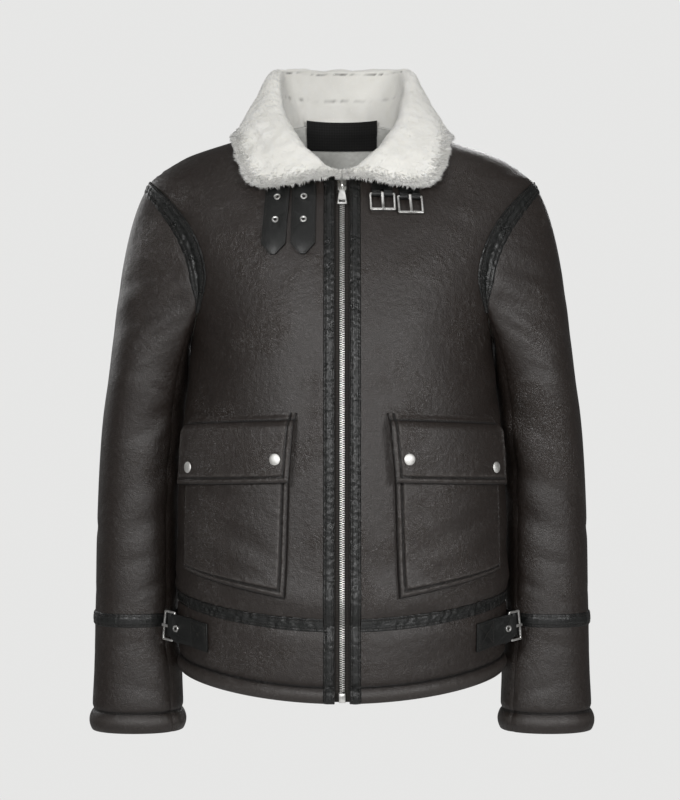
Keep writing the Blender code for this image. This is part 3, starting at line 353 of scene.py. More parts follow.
def body_folds(turn, height):
    """How far creases and puckers move the body's hide out."""
    turn = (np.asarray(turn, float) + 180) % 360 - 180
    left = turn > 0
    at = np.abs(turn)
    shifted = at - np.where(left, LEFT_TURN, 0)
    raised = height - np.where(left, LEFT_RISE, 0)
    total = np.zeros(np.broadcast(at, height).shape)
    for middle, level, half_turn, half_height, slope, depth in BODY_FOLDS:
        across = raised - level - slope * (shifted - middle)
        total -= depth * hill(shifted - middle, half_turn) * hill(across, half_height)
    total = total * np.where(left, LEFT_DEPTH, 1.0)
    calm = ramp(at, *BY_ZIP)
    straps = hill(at - STRAP_TURN, 9) * hill(height - STRAP_LEVEL, 0.055)
    total = total * calm * (1 - 0.9 * straps)
    girth = BODY_DEGREE * turn
    above = height - WAIST
    near = np.exp(-np.abs(np.abs(above) - 0.004) / 0.011)
    total += WAIST_PUCKER * near * calm * ripple(girth, 0.017, np.where(above > 0, 1.0, 2.0))
    side = hill((at - 90) * 0.0034, 0.0035)
    below_arm = ramp(-height, -UNDERARM, -UNDERARM + 0.02)
    total -= SIDE_SEAM * side * np.clip(below_arm + ramp(height, SHOULDER - 0.004, SHOULDER), 0, 1)
    share = (height - ARMHOLE_MIDDLE) / (ARMHOLE_HALF + 0.012)
    reach = np.where(at < 90, ARMHOLE_FRONT, ARMHOLE_BACK)
    off = (np.sqrt(((at - 90) / reach) ** 2 + share**2) - 1) * 0.11
    puckers = np.exp(-np.clip(off, 0, 1) / 0.013) * (off > 0)
    total += ARMHOLE_PUCKER * puckers * ripple(height, 0.013, np.where(left, 3.0, 4.0))
    return total


def torso_normal(turn, height):
    around = torso_base(turn + 0.4, height) - torso_base(turn - 0.4, height)
    up = torso_base(turn, height + 0.0008) - torso_base(turn, height - 0.0008)
    return unit(np.cross(around, up))


def torso(turn, height, out=0.0):
    """Points on the creased body, out metres from its hide."""
    far = np.asarray(out, float) + body_folds(turn, height)
    return torso_base(turn, height) + torso_normal(turn, height) * far[..., None]


def turn_at(x, height):
    return np.degrees(np.arcsin(np.clip(x / body_size("half_width", height), -1, 1)))


def armhole(around, wider=0.0, lower=0.0):
    a = np.radians(around)
    reach = np.where(np.sin(a) > 0, ARMHOLE_FRONT, ARMHOLE_BACK) + wider
    tall = ARMHOLE_HALF + lower * (1 - 0.3 * np.cos(a)) / 1.3
    return 90 - reach * np.sin(a), ARMHOLE_MIDDLE + tall * np.cos(a)


def neck_start(height):
    edge = turn_at(ZIP_OPENING, height)
    along_neck = smooth(NECK_AT["height"][:8], NECK_AT["turn"][:8], height)
    return np.where(height <= SHOULDER, edge, np.maximum(edge, along_neck))


def row_end(height, behind):
    reach = ARMHOLE_BACK if behind else ARMHOLE_FRONT
    share = np.clip(np.abs((height - ARMHOLE_MIDDLE) / ARMHOLE_HALF), 0, 1)
    return 90 + reach * np.sqrt(1 - share * share) * (1 if behind else -1)


def roll(height, groove, end):
    """How far a turned edge stands out, from its stitched groove to its end."""
    t = np.clip((groove - height) / (groove - end), 0, 1)
    bulge = ROLL_BULGE * np.sin(math.pi * np.minimum(1.0, 0.06 + 0.92 * t)) ** 0.75
    above = -EDGE_GROOVE * hill(height - groove, 0.004)
    return np.where(height >= groove, above, bulge - EDGE_GROOVE * (1 - t) ** 3)


def sleeve_ring(height, around):
    a = np.radians(around)
    inner, outer = sleeve_size("inner", height), sleeve_size("outer", height)
    full = 1 + 0.03 * np.sin(2 * a) ** 2
    x = (inner + outer) / 2 + (outer - inner) / 2 * full * np.cos(a)
    y = sleeve_size("middle_y", height) - sleeve_size("half_depth", height) * full * np.sin(a)
    return np.stack((x, y, height + 0 * a), -1)


def sleeve_base(along, around):
    """Points on the left sleeve: along is 0 at the armhole, 1 at the first level ring, and past 1
    it is 1 plus the distance below that ring."""
    along, around = np.broadcast_arrays(np.asarray(along, float), np.asarray(around, float))
    a = np.radians(around)
    start = torso_base(*armhole(around)) + np.array((0.0006, 0.0, -0.0002))
    end = sleeve_ring(np.full(a.shape, SLEEVE_TOP), around)
    reach = np.linalg.norm(end - start, axis=-1)
    leaving = np.stack((HEAD_WAY[0] + 0 * a, HEAD_WAY[1] * np.sin(a), HEAD_WAY[2] + 0 * a), -1)
    least, above, below = HEAD_PULL
    pull = least + above * np.cos(a) + below * np.maximum(0.0, -np.cos(a)) ** 2
    t = np.clip(along, 0, 1)[..., None]
    cap = start * (1 + 2 * t) * (1 - t) ** 2 + leaving * (reach * pull)[..., None] * t * (1 - t) ** 2
    cap = cap + end * t * t * (3 - 2 * t)
    cap = cap + np.array(HEAD_END) * reach[..., None] * HEAD_END_PULL * t * t * (1 - t)
    arm = sleeve_ring(SLEEVE_TOP - (along - 1), around)
    return np.where((along >= 1)[..., None], arm, cap)


def sleeve_folds(point, along, around):
    """How far folds, creases and seams move the sleeve's hide out."""
    total = np.zeros(around.shape)
    for height, at, length, width, depth in FOLDS:
        off = (around - at + 180) % 360 - 180
        total -= depth * hill(off, length) * hill(point[..., 2] - height - 0.00035 * off, width)
    for height, at, length, width, slope, depth in CREASES:
        off = (around - at + 180) % 360 - 180
        total -= depth * hill(off, length) * hill(point[..., 2] - height - slope * off, width)
    total = total * ramp(along, 0.10, 0.35)
    for seam in UNDER_SLEEVE:
        off = ((around - seam + 180) % 360 - 180) * 0.00095
        total -= SLEEVE_SEAM * hill(off, 0.0030)
        total += 0.0005 * np.exp(-np.abs(off) / 0.008) * ripple(point[..., 2], 0.014, seam)
    girth = around * SLEEVE_DEGREE
    by_head = np.exp(-along * 0.30 / 0.016) * ramp(along, 0.0, 0.03)
    total += HEAD_PUCKER * by_head * ripple(girth, 0.011, 6.0)
    band = np.minimum(np.abs(point[..., 2] - SLEEVE_BAND[0]), np.abs(point[..., 2] - SLEEVE_BAND[1]))
    total += BAND_PUCKER * np.exp(-band / 0.008) * ripple(girth, 0.012, 7.0) * (along > 1)
    return total


def sleeve(along, around, out):
    along, around = np.broadcast_arrays(np.asarray(along, float), np.asarray(around, float))
    point = sleeve_base(along, around)
    d_around = sleeve_base(along, around + 1.0) - sleeve_base(along, around - 1.0)
    d_along = sleeve_base(along + 0.01, around) - sleeve_base(np.maximum(0.0, along - 0.01), around)
    normal = unit(np.cross(d_around, d_along))
    return point + normal * (np.asarray(out, float) + sleeve_folds(point, along, around))[..., None]


def along_of(height):
    return 1 + SLEEVE_TOP - height


class Wire:
    """A value in a shader. Expressions on wires add Math nodes."""

    def __init__(self, look, socket):
        self.look, self.socket = look, socket

    def work(self, operation, *terms):
        return self.look.node("ShaderNodeMath", {"operation": operation}, dict(enumerate(terms)))

    def __add__(self, other):
        return self.work("ADD", self, other)

    def __sub__(self, other):
        return self.work("SUBTRACT", self, other)

    def __rsub__(self, other):
        return self.work("SUBTRACT", other, self)

    def __mul__(self, other):
        return self.work("MULTIPLY", self, other)

    __radd__ = __add__
    __rmul__ = __mul__


class Look:
    """A material: a Principled shader and the nodes that feed it."""

    def __init__(self, name, **fixed):
        self.material = bpy.data.materials.new(name)
        self.material.use_nodes = True
        self.tree = self.material.node_tree
        self.shader = self.tree.nodes["Principled BSDF"]
        self.feed(**fixed)
        self.here = self.node("ShaderNodeTexCoord", output="Object")

    def node(self, kind, settings=None, inputs=None, output=0):
        made = self.tree.nodes.new(kind)
        for name, value in (settings or {}).items():
            setattr(made, name, value)
        for name, value in (inputs or {}).items():
            if isinstance(value, Wire):
                self.tree.links.new(value.socket, made.inputs[name])
            else:
                made.inputs[name].default_value = value
        return Wire(self, made.outputs[output])

    def feed(self, **values):
        """Sets or links the shader's sockets, named with underscores for spaces."""
        for name, value in values.items():
            socket = self.shader.inputs[name.replace("_", " ")]
            if isinstance(value, Wire):
                self.tree.links.new(value.socket, socket)
            else:
                socket.default_value = value

    def noise(self, size, detail=3.0, rough=0.55):
        """Noise whose patches are about size metres across."""
        inputs = {"Vector": self.here, "Scale": 1 / size, "Detail": detail, "Roughness": rough}
        return self.node("ShaderNodeTexNoise", None, inputs)

    def cells(self, size, feature):
        """Cells about size metres across, as a distance from their middles or edges."""
        inputs = {"Vector": self.here, "Scale": 1 / size, "Randomness": 1.0}
        return self.node("ShaderNodeTexVoronoi", {"feature": feature}, inputs)

    def span(self, value, low, high, to_low=0.0, to_high=1.0):
        inputs = {"Value": value, "From Min": low, "From Max": high, "To Min": to_low, "To Max": to_high}
        return self.node("ShaderNodeMapRange", {"interpolation_type": "SMOOTHSTEP"}, inputs)

    def colours(self, factor, low, high):
        low = (*low, 1.0) if isinstance(low, tuple) else low
        high = (*high, 1.0) if isinstance(high, tuple) else high
        return self.node("ShaderNodeMix", {"data_type": "RGBA"}, {0: factor, 6: low, 7: high}, output=2)

    def painted_shading(self, colour, painted_highlight, dark):
        """The colour, with the mesh's own painted light laid over it: paler for a painted highlight, darker
        for painted shade.
        """
        wear = self.node("ShaderNodeAttribute", {"attribute_name": "wear"}, output=2)
        colour = self.colours(self.span(wear, 0.0, 1.0), colour, painted_highlight)
        return self.colours(self.span(wear * -1.0, 0.0, 1.0), colour, dark)

    def bump(self, height, depth, strength=1.0, under=None):
        inputs = {"Height": height, "Distance": depth, "Strength": strength}
        if under is not None:
            inputs["Normal"] = under
        return self.node("ShaderNodeBump", None, inputs)


def hide_look():
    """Dark brown hide: finely pebbled, with rubbed patches that are paler and a little shinier, pale speckles
    in them painted as sheen, and the mesh's painted highlights and shade.
    """
    look = Look("brown_hide_finish", Specular_IOR_Level=0.56)
    pebbles = look.cells(0.0021, "DISTANCE_TO_EDGE")
    fine = look.noise(0.0011, 3.0, 0.6)
    speckle = look.noise(0.0040, 3.0, 0.75)
    patches = look.noise(0.110, 5.0, 0.58)
    rubbed = look.span(patches, 0.44, 0.66)
    grain = look.span(pebbles, 0.0, 0.20)
    colour = look.colours(rubbed, (0.0136, 0.0085, 0.0061), (0.0238, 0.0168, 0.0132))
    # Pale speckles, mostly in the rubbed patches: painted sheen highlights
    painted_highlight = look.span(speckle, 0.52, 0.72) * look.span(rubbed, 0.0, 1.0, 0.25, 0.85)
    colour = look.colours(painted_highlight, colour, (0.0700, 0.0660, 0.0640))
    colour = look.colours(look.span(speckle, 0.46, 0.30, 0.0, 0.7), colour, (0.0080, 0.0060, 0.0052))
    colour = look.colours((1 - grain) * 0.4, colour, (0.0080, 0.0062, 0.0054))
    # Painted highlights and painted shade from the mesh's values
    colour = look.painted_shading(colour, (0.0850, 0.0770, 0.0710), (0.0035, 0.0028, 0.0025))
    rough = look.span(rubbed, 0.0, 1.0, 0.42, 0.29) + (1 - grain) * 0.12 + (fine - 0.5) * 0.20
    normal = look.bump(look.noise(0.0070, 4.0, 0.58), 0.0016, 0.5)
    rise = (speckle * 0.6 + grain * 0.25 + fine * 0.15) * look.span(rubbed, 0.0, 1.0, 0.28, 1.0)
    normal = look.bump(rise, 0.0016, 0.9, normal)
    look.feed(Base_Color=colour, Roughness=rough, Normal=normal)
    return look.material


def wool_look():
    """The wool side of the hide, inside the jacket: light grey, short and matted."""
    look = Look("wool_lining_finish", Roughness=0.95, Specular_IOR_Level=0.15, Sheen_Weight=0.2)
    curls = look.cells(0.0042, "SMOOTH_F1")
    fine = look.noise(0.0016, 4.0, 0.65)
    patches = look.noise(0.030, 3.0)
    colour = look.colours(look.span(patches, 0.35, 0.7), (0.60, 0.60, 0.57), (0.68, 0.68, 0.65))
    colour = look.colours(look.span(curls, 0.25, 0.75, 0.0, 0.35), colour, (0.47, 0.465, 0.44))
    normal = look.bump(fine * 0.5 + (1 - curls) * 0.5, 0.0018, 0.7)
    look.feed(Base_Color=colour, Normal=normal)
    return look.material


def trim_look(name, crumple, rough):
    """Black leather, smoother and shinier than the hide, with fine wrinkles and the mesh's painted highlights
    and shade.
    """
    look = Look(name, Specular_IOR_Level=0.42, Coat_Roughness=0.20)
    wrinkle = look.noise(0.0065, 4.0, 0.52)
    pores = look.cells(0.0012, "DISTANCE_TO_EDGE")
    patches = look.noise(0.020, 3.0)
    colour = look.colours(look.span(wrinkle, 0.38, 0.72), (0.0028, 0.0032, 0.0029), (0.0060, 0.0066, 0.0060))
    # Painted highlights and painted shade from the mesh's values
    colour = look.painted_shading(colour, (0.0200, 0.0208, 0.0200), (0.0015, 0.0015, 0.0014))
    rough = look.span(patches, 0.3, 0.7, rough, rough + 0.14) + (wrinkle - 0.5) * 0.10
    normal = look.bump(wrinkle, 0.0018, crumple)
    normal = look.bump(look.span(pores, 0.0, 0.12), 0.0002, 0.5, normal)
    look.feed(Base_Color=colour, Roughness=rough, Normal=normal)
    look.feed(Coat_Weight=look.span(patches, 0.3, 0.7, 0.0, 0.12))
    return look.material


def soft_look(name, low, high):
    """A fleece's shader, through which some light passes, and its colour."""
    look = Look(name, Roughness=0.9, Specular_IOR_Level=0.12, Sheen_Weight=0.3, Sheen_Roughness=0.5)
    look.feed(Subsurface_Weight=0.35, Subsurface_Radius=(1.0, 0.95, 0.85), Subsurface_Scale=0.004)
    return look, look.colours(look.span(look.noise(0.045, 3.0), 0.35, 0.7), low, high)


def fleece_look():
    """Ivory fleece: the mat that the tufts stand in."""
    look, colour = soft_look("ivory_fleece_finish", (0.79, 0.78, 0.735), (0.84, 0.83, 0.79))
    clumps = look.cells(0.0070, "SMOOTH_F1")
    fine = look.noise(0.0014, 4.0, 0.65)
    colour = look.colours(look.span(clumps, 0.40, 0.95, 0.0, 0.2), colour, (0.72, 0.70, 0.65))
    # Painted shade from the mesh's values: the stand's seams and its inside
    colour = look.painted_shading(colour, (0.85, 0.85, 0.83), (0.060, 0.056, 0.050))
    normal = look.bump((1 - clumps) * 0.5 + fine * 0.5, 0.0013, 0.5)
    look.feed(Base_Color=colour, Normal=normal)
    return look.material


def tuft_look():
    """The tufts: a touch paler than the mat."""
    look, colour = soft_look("ivory_tuft_finish", (0.85, 0.84, 0.80), (0.89, 0.88, 0.85))
    strands = look.noise(0.0040, 2.0)
    colour = look.colours(look.span(strands, 0.42, 0.70, 0.0, 0.2), colour, (0.80, 0.785, 0.74))
    look.feed(Base_Color=colour)
    return look.material


def nickel_look(name, rough, brushed):
    """Bright nickel, with fine scratches and some dulling."""
    look = Look(name, Metallic=1.0)
    scratches = look.noise(0.00035, 3.0, 0.7)
    dull = look.noise(0.0060, 3.0)
    colour = look.colours(look.span(dull, 0.35, 0.70), (0.70, 0.69, 0.665), (0.84, 0.835, 0.815))
    look.feed(
        Base_Color=colour,
        Roughness=look.span(dull, 0.3, 0.7, rough, rough + 0.12) + scratches * brushed,
        Normal=look.bump(scratches, 0.00001, 0.5),
    )
    return look.material


def woven_look(name, dark, light, pitch):
    """A close weave in the jacket's own directions."""
    look = Look(name, Roughness=0.85, Specular_IOR_Level=0.3)
    bands = {"Vector": look.here, "Scale": 1 / pitch / 20, "Distortion": 0.4, "Detail": 1.0}
    warp = look.node("ShaderNodeTexWave", {"bands_direction": "X"}, bands, output=1)
    weft = look.node("ShaderNodeTexWave", {"bands_direction": "Z"}, bands, output=1)
    weave = warp * 0.5 + weft * 0.5
    look.feed(Base_Color=look.colours(weave, dark, light), Normal=look.bump(weave, 0.0002, 0.8))
    return look.material


def thread_look():
    look = Look("thread_finish", Roughness=0.6, Specular_IOR_Level=0.4)
    ply = look.noise(0.0006, 2.0)
    look.feed(Base_Color=look.colours(ply, (0.012, 0.011, 0.010), (0.045, 0.040, 0.036)))
    return look.material


HIDE_LOOK = hide_look()
WOOL_LOOK = wool_look()
TRIM_LOOK = trim_look("black_trim_finish", 0.26, 0.26)
BAND_LOOK = trim_look("black_band_finish", 0.07, 0.30)
STRAP_LOOK = trim_look("black_strap_finish", 0.16, 0.36)
FLEECE_LOOK = fleece_look()
TUFT_LOOK = tuft_look()
NICKEL_LOOK = nickel_look("nickel_finish", 0.24, 0.05)
BRUSHED_LOOK = nickel_look("brushed_nickel_finish", 0.46, 0.12)
TEETH_LOOK = nickel_look("zip_teeth_finish", 0.30, 0.10)
TAPE_LOOK = woven_look("zip_tape_finish", (0.010, 0.009, 0.008), (0.032, 0.028, 0.025), 0.0006)
LABEL_LOOK = woven_look("woven_label_finish", (0.0035, 0.0035, 0.0035), (0.012, 0.012, 0.012), 0.0005)
THREAD_LOOK = thread_look()


def keep(mesh, name, looks, slot, replaces=(), body=JACKET, angle=50.0):
    """Makes a finished piece of a mesh: smooth shading, material, body, and the nodes it stands for."""
    mesh.name = name
    for look in looks:
        mesh.materials.append(look)
    mesh.shade_smooth()
    mesh.set_sharp_from_angle(angle=math.radians(angle))
    made = bpy.data.objects.new(name, mesh)
    bpy.context.scene.collection.objects.link(made)
    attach(made, body)
    if replaces:
        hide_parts(*replaces)
    return made


def face_grid(rows, across, ring):
    """Faces of a grid of points, as four indices each."""
    c = np.arange(across if ring else across - 1)
    d = (c + 1) % across
    r = np.arange(rows - 1)[:, None] * across
    return np.stack((r + c, r + d, r + across + d, r + across + c), -1).reshape(-1, 4)


def shell(name, outer, inner, looks, slot, replaces=(), ring=False, angle=50.0, wool_top=False, wear=None):
    """A closed wall between two grids of points. The second look, if any, is the inside's, and with
    wool_top it is the last row's edge too. The last argument gives painted light for each outer
    point: above 0 a painted highlight, below 0 painted shade."""
    rows, across = outer.shape[:2]
    far, last = rows * across, (rows - 1) * across
    outside = face_grid(rows, across, ring)
    inside = outside[:, ::-1] + far
    c = np.arange(across if ring else across - 1)
    d = (c + 1) % across
    rims = [np.stack((far + c, far + d, d, c), -1)]
    rims.append(np.stack((last + c, last + d, far + last + d, far + last + c), -1))
    if not ring:
        a, b = np.arange(rows - 1) * across, np.arange(1, rows) * across
        rims.append(np.stack((a, b, far + b, far + a), -1))
        a, b = a + across - 1, b + across - 1
        rims.append(np.stack((b, a, far + a, far + b), -1))
    faces = np.concatenate([outside, inside] + rims)
    mesh = bpy.data.meshes.new(name)
    points = np.concatenate((outer.reshape(-1, 3), inner.reshape(-1, 3)))
    mesh.from_pydata(points.tolist(), [], faces.tolist())
    if len(looks) > 1:
        index = np.zeros(len(faces), np.int32)
        index[len(outside) : len(outside) * 2] = 1
        if wool_top:
            index[len(outside) * 2 + len(c) : len(outside) * 2 + len(c) * 2] = 1
        mesh.polygons.foreach_set("material_index", index)
    bm = bmesh.new()
    bm.from_mesh(mesh)
    bmesh.ops.recalc_face_normals(bm, faces=bm.faces)
    bm.to_mesh(mesh)
    bm.free()
    # Painted highlights and painted shade, kept on the mesh's points
    if wear is not None:
        painted_shading = np.zeros(len(mesh.vertices), np.float32)
        painted_shading[:far] = np.broadcast_to(wear, (rows, across)).ravel()
        mesh.attributes.new("wear", "FLOAT", "POINT").data.foreach_set("value", painted_shading)
    return keep(mesh, name, looks, slot, replaces, angle=angle)


def steps(start, end, size):
    """Evenly spaced values from start to end, about size apart."""
    return np.linspace(start, end, max(2, int(round(abs(end - start) / size)) + 1))


def fine_ends(size, coarse, start=True):
    """Shares of size metres, 1 mm apart within 11 mm of its ends, or of its end alone."""
    low, high = 0.011 * start, size - 0.011
    parts = [steps(0.0, low, 0.001)[:-1]] if start else []
    return np.concatenate(parts + [steps(low, high, coarse), steps(high, size, 0.001)[1:]]) / size


def laid(place, across, down, top, low):
    """The outer and inner grid of a piece whose points are place(across, down, out). top and low are
    how far out they are, each a number or worked out from across and down."""
    u, v = np.meshgrid(across, down)
    return [place(u, v, out(u, v) if callable(out) else out) for out in (top, low)]


def panel(node, place, across, down, out=0.0, **kept):
    """A piece of hide with its wool side in, as thick as the hide is."""
    outer, inner = laid(place, across, down, out, -HIDE)
    return shell(f"hide_{node}", outer, inner, [HIDE_LOOK, WOOL_LOOK], "hide", [node], **kept)


def strip(name, node, look, place, across, down, out, low, share, ring=False):
    """A piece laid on the hide, with painted shade and highlights by its share of the way across."""
    outer, inner = laid(place, across, down, out, low)
    return shell(name, outer, inner, [look], "trim", [node], ring=ring, wear=strip_wear(share))


STITCH_ROUND = 5
STITCH_REACH = 0.0004
STITCH_BODY = 0.28


def along_line(at, run, values):
    """The values along a line, each three numbers, at some lengths of it."""
    return np.stack([np.interp(at, run, values[:, k]) for k in range(3)], -1)


def sew(name, lines, pitch=0.0038, long=0.0027, thick=0.00036):
    """Stitches along lines, each an array of points and one of the ways out of the leather."""
    middles, ways, outs = [], [], []
    for points, out in lines:
        run = np.concatenate(([0], np.cumsum(np.linalg.norm(np.diff(points, axis=0), axis=1))))
        at = np.arange(pitch / 2, run[-1] - pitch / 4, pitch)
        middles.append(along_line(at, run, points))
        ahead, behind = (along_line(at + off, run, points) for off in (STITCH_REACH, -STITCH_REACH))
        ways.append(unit(ahead - behind))
        outs.append(unit(along_line(at, run, out)))
    middle, way, out = (np.concatenate(x) for x in (middles, ways, outs))
    side = unit(np.cross(way, out))
    n = STITCH_ROUND
    a = np.arange(n) * 2 * math.pi / n
    around = side[:, None] * np.cos(a)[:, None] + out[:, None] * np.sin(a)[:, None]
    rings = []
    for along in (-STITCH_BODY, STITCH_BODY):
        centre = middle + way * (along * long) + out * (thick * 0.35)
        rings.append(centre[:, None] + around * thick)
    tips = [(middle + way * (s * long / 2) - out * thick * 0.7)[:, None] for s in (-1, 1)]
    points = np.concatenate((*rings, *tips), axis=1)
    pairs = [(k, (k + 1) % n) for k in range(n)]
    faces = [(k, d, n + d, n + k) for k, d in pairs]
    caps = [(d, k, 2 * n) for k, d in pairs] + [(n + k, n + d, 2 * n + 1) for k, d in pairs]
    base = np.arange(len(middle))[:, None, None] * (2 * n + 2)
    every = (base + np.array(faces)).reshape(-1, 4).tolist() + (base + np.array(caps)).reshape(-1, 3).tolist()
    mesh = bpy.data.meshes.new(name)
    mesh.from_pydata(points.reshape(-1, 3).tolist(), [], every)
    return keep(mesh, name, [THREAD_LOOK], None, angle=80)


def line_on(place, across, down, out):
    """A sewing line on a piece, with the way out of it."""
    across, down = np.broadcast_arrays(np.asarray(across, float), np.asarray(down, float))
    points = place(across, down, out + 0 * across)
    return points, place(across, down, out + 0.001 + 0 * across) - points


# The spacing of the panels' points, and where the finer rows round the neck start and end
CLOTH_STEP = 0.0046
CHEST_TOP = -0.056
NECK_ROWS = (-0.0535, 0.0213)


def front_panel(side, label):
    def place(share, height, out):
        start, end = neck_start(height), row_end(height, False)
        edge = np.where(end >= 89.999, BODY_GAP, 0.0)
        return torso(side * (start + (end - edge - start) * share), height, out)

    lower, upper = steps(WAIST + SEAM_GAP, CHEST_TOP, CLOTH_STEP), steps(*NECK_ROWS, 0.0022)
    rows = np.concatenate((lower, upper))
    piece = panel(f"front_{label}", place, np.linspace(0, 1, 56), rows, wool_top=True)


def back_panel():
    def place(share, height, out):
        start = row_end(height, True)
        start = start + np.where(start <= 90.001, BODY_GAP, 0.0)
        return torso(start + (360 - 2 * start) * share, height, out)

    lower, upper = steps(WAIST + SEAM_GAP, CHEST_TOP, CLOTH_STEP), steps(*NECK_ROWS, 0.0030)
    rows = np.concatenate((lower, upper))
    piece = panel("back", place, np.linspace(0, 1, 88), rows, wool_top=True)


def hem_out(turn, height):
    """How far the hem band stands out: a turned edge below its stitched groove, puckered along it."""
    puckers = 0.0006 * ripple(np.asarray(turn) * BODY_DEGREE, 0.012, 9.0) * hill(height - HEM_GROOVE, 0.010)
    return np.where(height < WAIST, roll(height, HEM_GROOVE, HEM) + puckers, 0.0)


def groove_wear(above, groove):
    """Painted shade in a turned edge's groove and a painted highlight on its roll, by the height above the
    groove.
    """
    return 0.30 * hill(above + 0.009, 0.006) - 0.95 * hill(above, groove)


def hem_panel(name, first, last, flat):
    """A hem band from one turn to another, or from or to the zip where a turn is None."""

    def turn_of(share, height):
        start = turn_at(ZIP_OPENING, height) if first is None else first + BODY_GAP
        end = -turn_at(ZIP_OPENING, height) if last is None else last - BODY_GAP
        return start + (end - start) * share

    def place(share, height, out):
        return torso(turn_of(share, height), height, out)

    def bulge(share, height):
        return hem_out(turn_of(share, height), height)

    across = np.linspace(0, 1, int(round(flat[0] / CLOTH_STEP)) + 1)
    upper, lower = steps(WAIST - SEAM_GAP, HEM_GROOVE + 0.005, 0.0036), steps(HEM_GROOVE + 0.004, HEM, 0.0010)
    rows = np.concatenate((upper, lower))
    # Painted shade in the hem's groove and a painted highlight on its roll
    wear = groove_wear(rows - HEM_GROOVE, 0.0018)[:, None]
    piece = panel(name, place, across, rows, bulge, wear=wear)


# The strips round the waist and the sleeves press into the hide.
SUNK = -0.0003


def strip_wear(share):
    """Painted shade at a strip's sewing and edges, and a painted highlight inside its sewing."""
    edge = np.minimum(share, 1 - share)
    return 0.35 * hill(edge - 0.30, 0.12) - 0.8 * hill(edge - 0.17, 0.06) - 0.8 * hill(edge, 0.05)


# A laid-on strip's face: its dome, its rim, its two sewn grooves, and long and short puckers
STRIP_DOME = 0.0007
STRIP_RIM = 0.0010
STRIP_SEWING = 0.0007
STRIP_WAVES = (0.00070, 0.00034)


def strip_out(share, along, pitch, seed, body, pucker):
    """A laid-on strip's face: domed, sunk at its two rows of sewing, puckered along them. body is how
    far out the hide is under it, and pucker how strong the puckers are."""
    edge = np.minimum(share, 1 - share)
    dome = STRIP_DOME * np.sin(math.pi * np.clip(share, 0, 1))
    rim = -STRIP_RIM * (1 - ramp(edge, 0.0, 0.10))
    sewing = -STRIP_SEWING * hill(edge - 0.17, 0.07)
    by_sewing = 0.45 + 0.55 * hill(edge - 0.10, 0.16)
    waves = STRIP_WAVES[0] * ripple(along + share * 0.004, pitch, seed) * by_sewing
    waves = waves + STRIP_WAVES[1] * ripple(along - share * 0.006, pitch * 0.55, seed + 2)
    return body + LAID_ON + LEATHER + dome + rim + sewing + waves * pucker


# How far from the middle the strips beside the zip start and end
ZIP_STRIP = (0.0088, 0.0212)


def zip_trim(side, label):
    low, high = ZIP_STRIP
    lower = steps(HEM + 0.0002, HEM_GROOVE + 0.004, 0.0014)
    rows = np.concatenate((lower, steps(HEM_GROOVE + 0.006, TRIM_TOP, 0.0019)))

    def place(x, height, out):
        return torso(side * turn_at(x, height), height, out)

    def body(x, height):
        return hem_out(0.0 * x, height)

    def face(x, height):
        share = (x - low) / (high - low)
        return strip_out(share, height, 0.0120, 2.0 + side, body(x, height), 0.95)

    def beneath(x, height):
        return body(x, height) + LAID_ON

    across = np.linspace(low, high, 15)
    name, share = f"zip_trim_strip_{label}", (across - low) / (high - low)
    piece = strip(name, f"zip_trim_{label}", TRIM_LOOK, place, across, rows, face, beneath, share)
    out = hem_out(0.0, rows) + LAID_ON + LEATHER
    sew(f"zip_trim_sewing_{label}", [line_on(place, x, rows, out) for x in (low + 0.0020, high - 0.0020)])


WAIST_STRIP = 0.015


def waist_trim(name, turns, seed):
    low = WAIST - WAIST_STRIP / 2
    rows = np.linspace(low, low + WAIST_STRIP, 15)

    def face(turn, height):
        return strip_out((height - low) / WAIST_STRIP, turn * BODY_DEGREE, 0.0160, seed, SUNK, 0.22)

    share = ((rows - low) / WAIST_STRIP)[:, None]
    piece = strip(f"{name}_strip", name, BAND_LOOK, torso, turns, rows, face, LAID_ON + SUNK, share)
    out = LAID_ON + LEATHER + SUNK
    sew(f"{name}_sewing", [line_on(torso, turns, low + d, out) for d in (0.0024, 0.0126)])


# How wide an armhole strip is on each side of the seam, how far round it in degrees it reaches, and
# how far it presses into the hide
ON_SLEEVE = 0.0115
ON_BODY = 0.0135
ARMHOLE_REACH = 130.0
ARMHOLE_SUNK = -0.0002


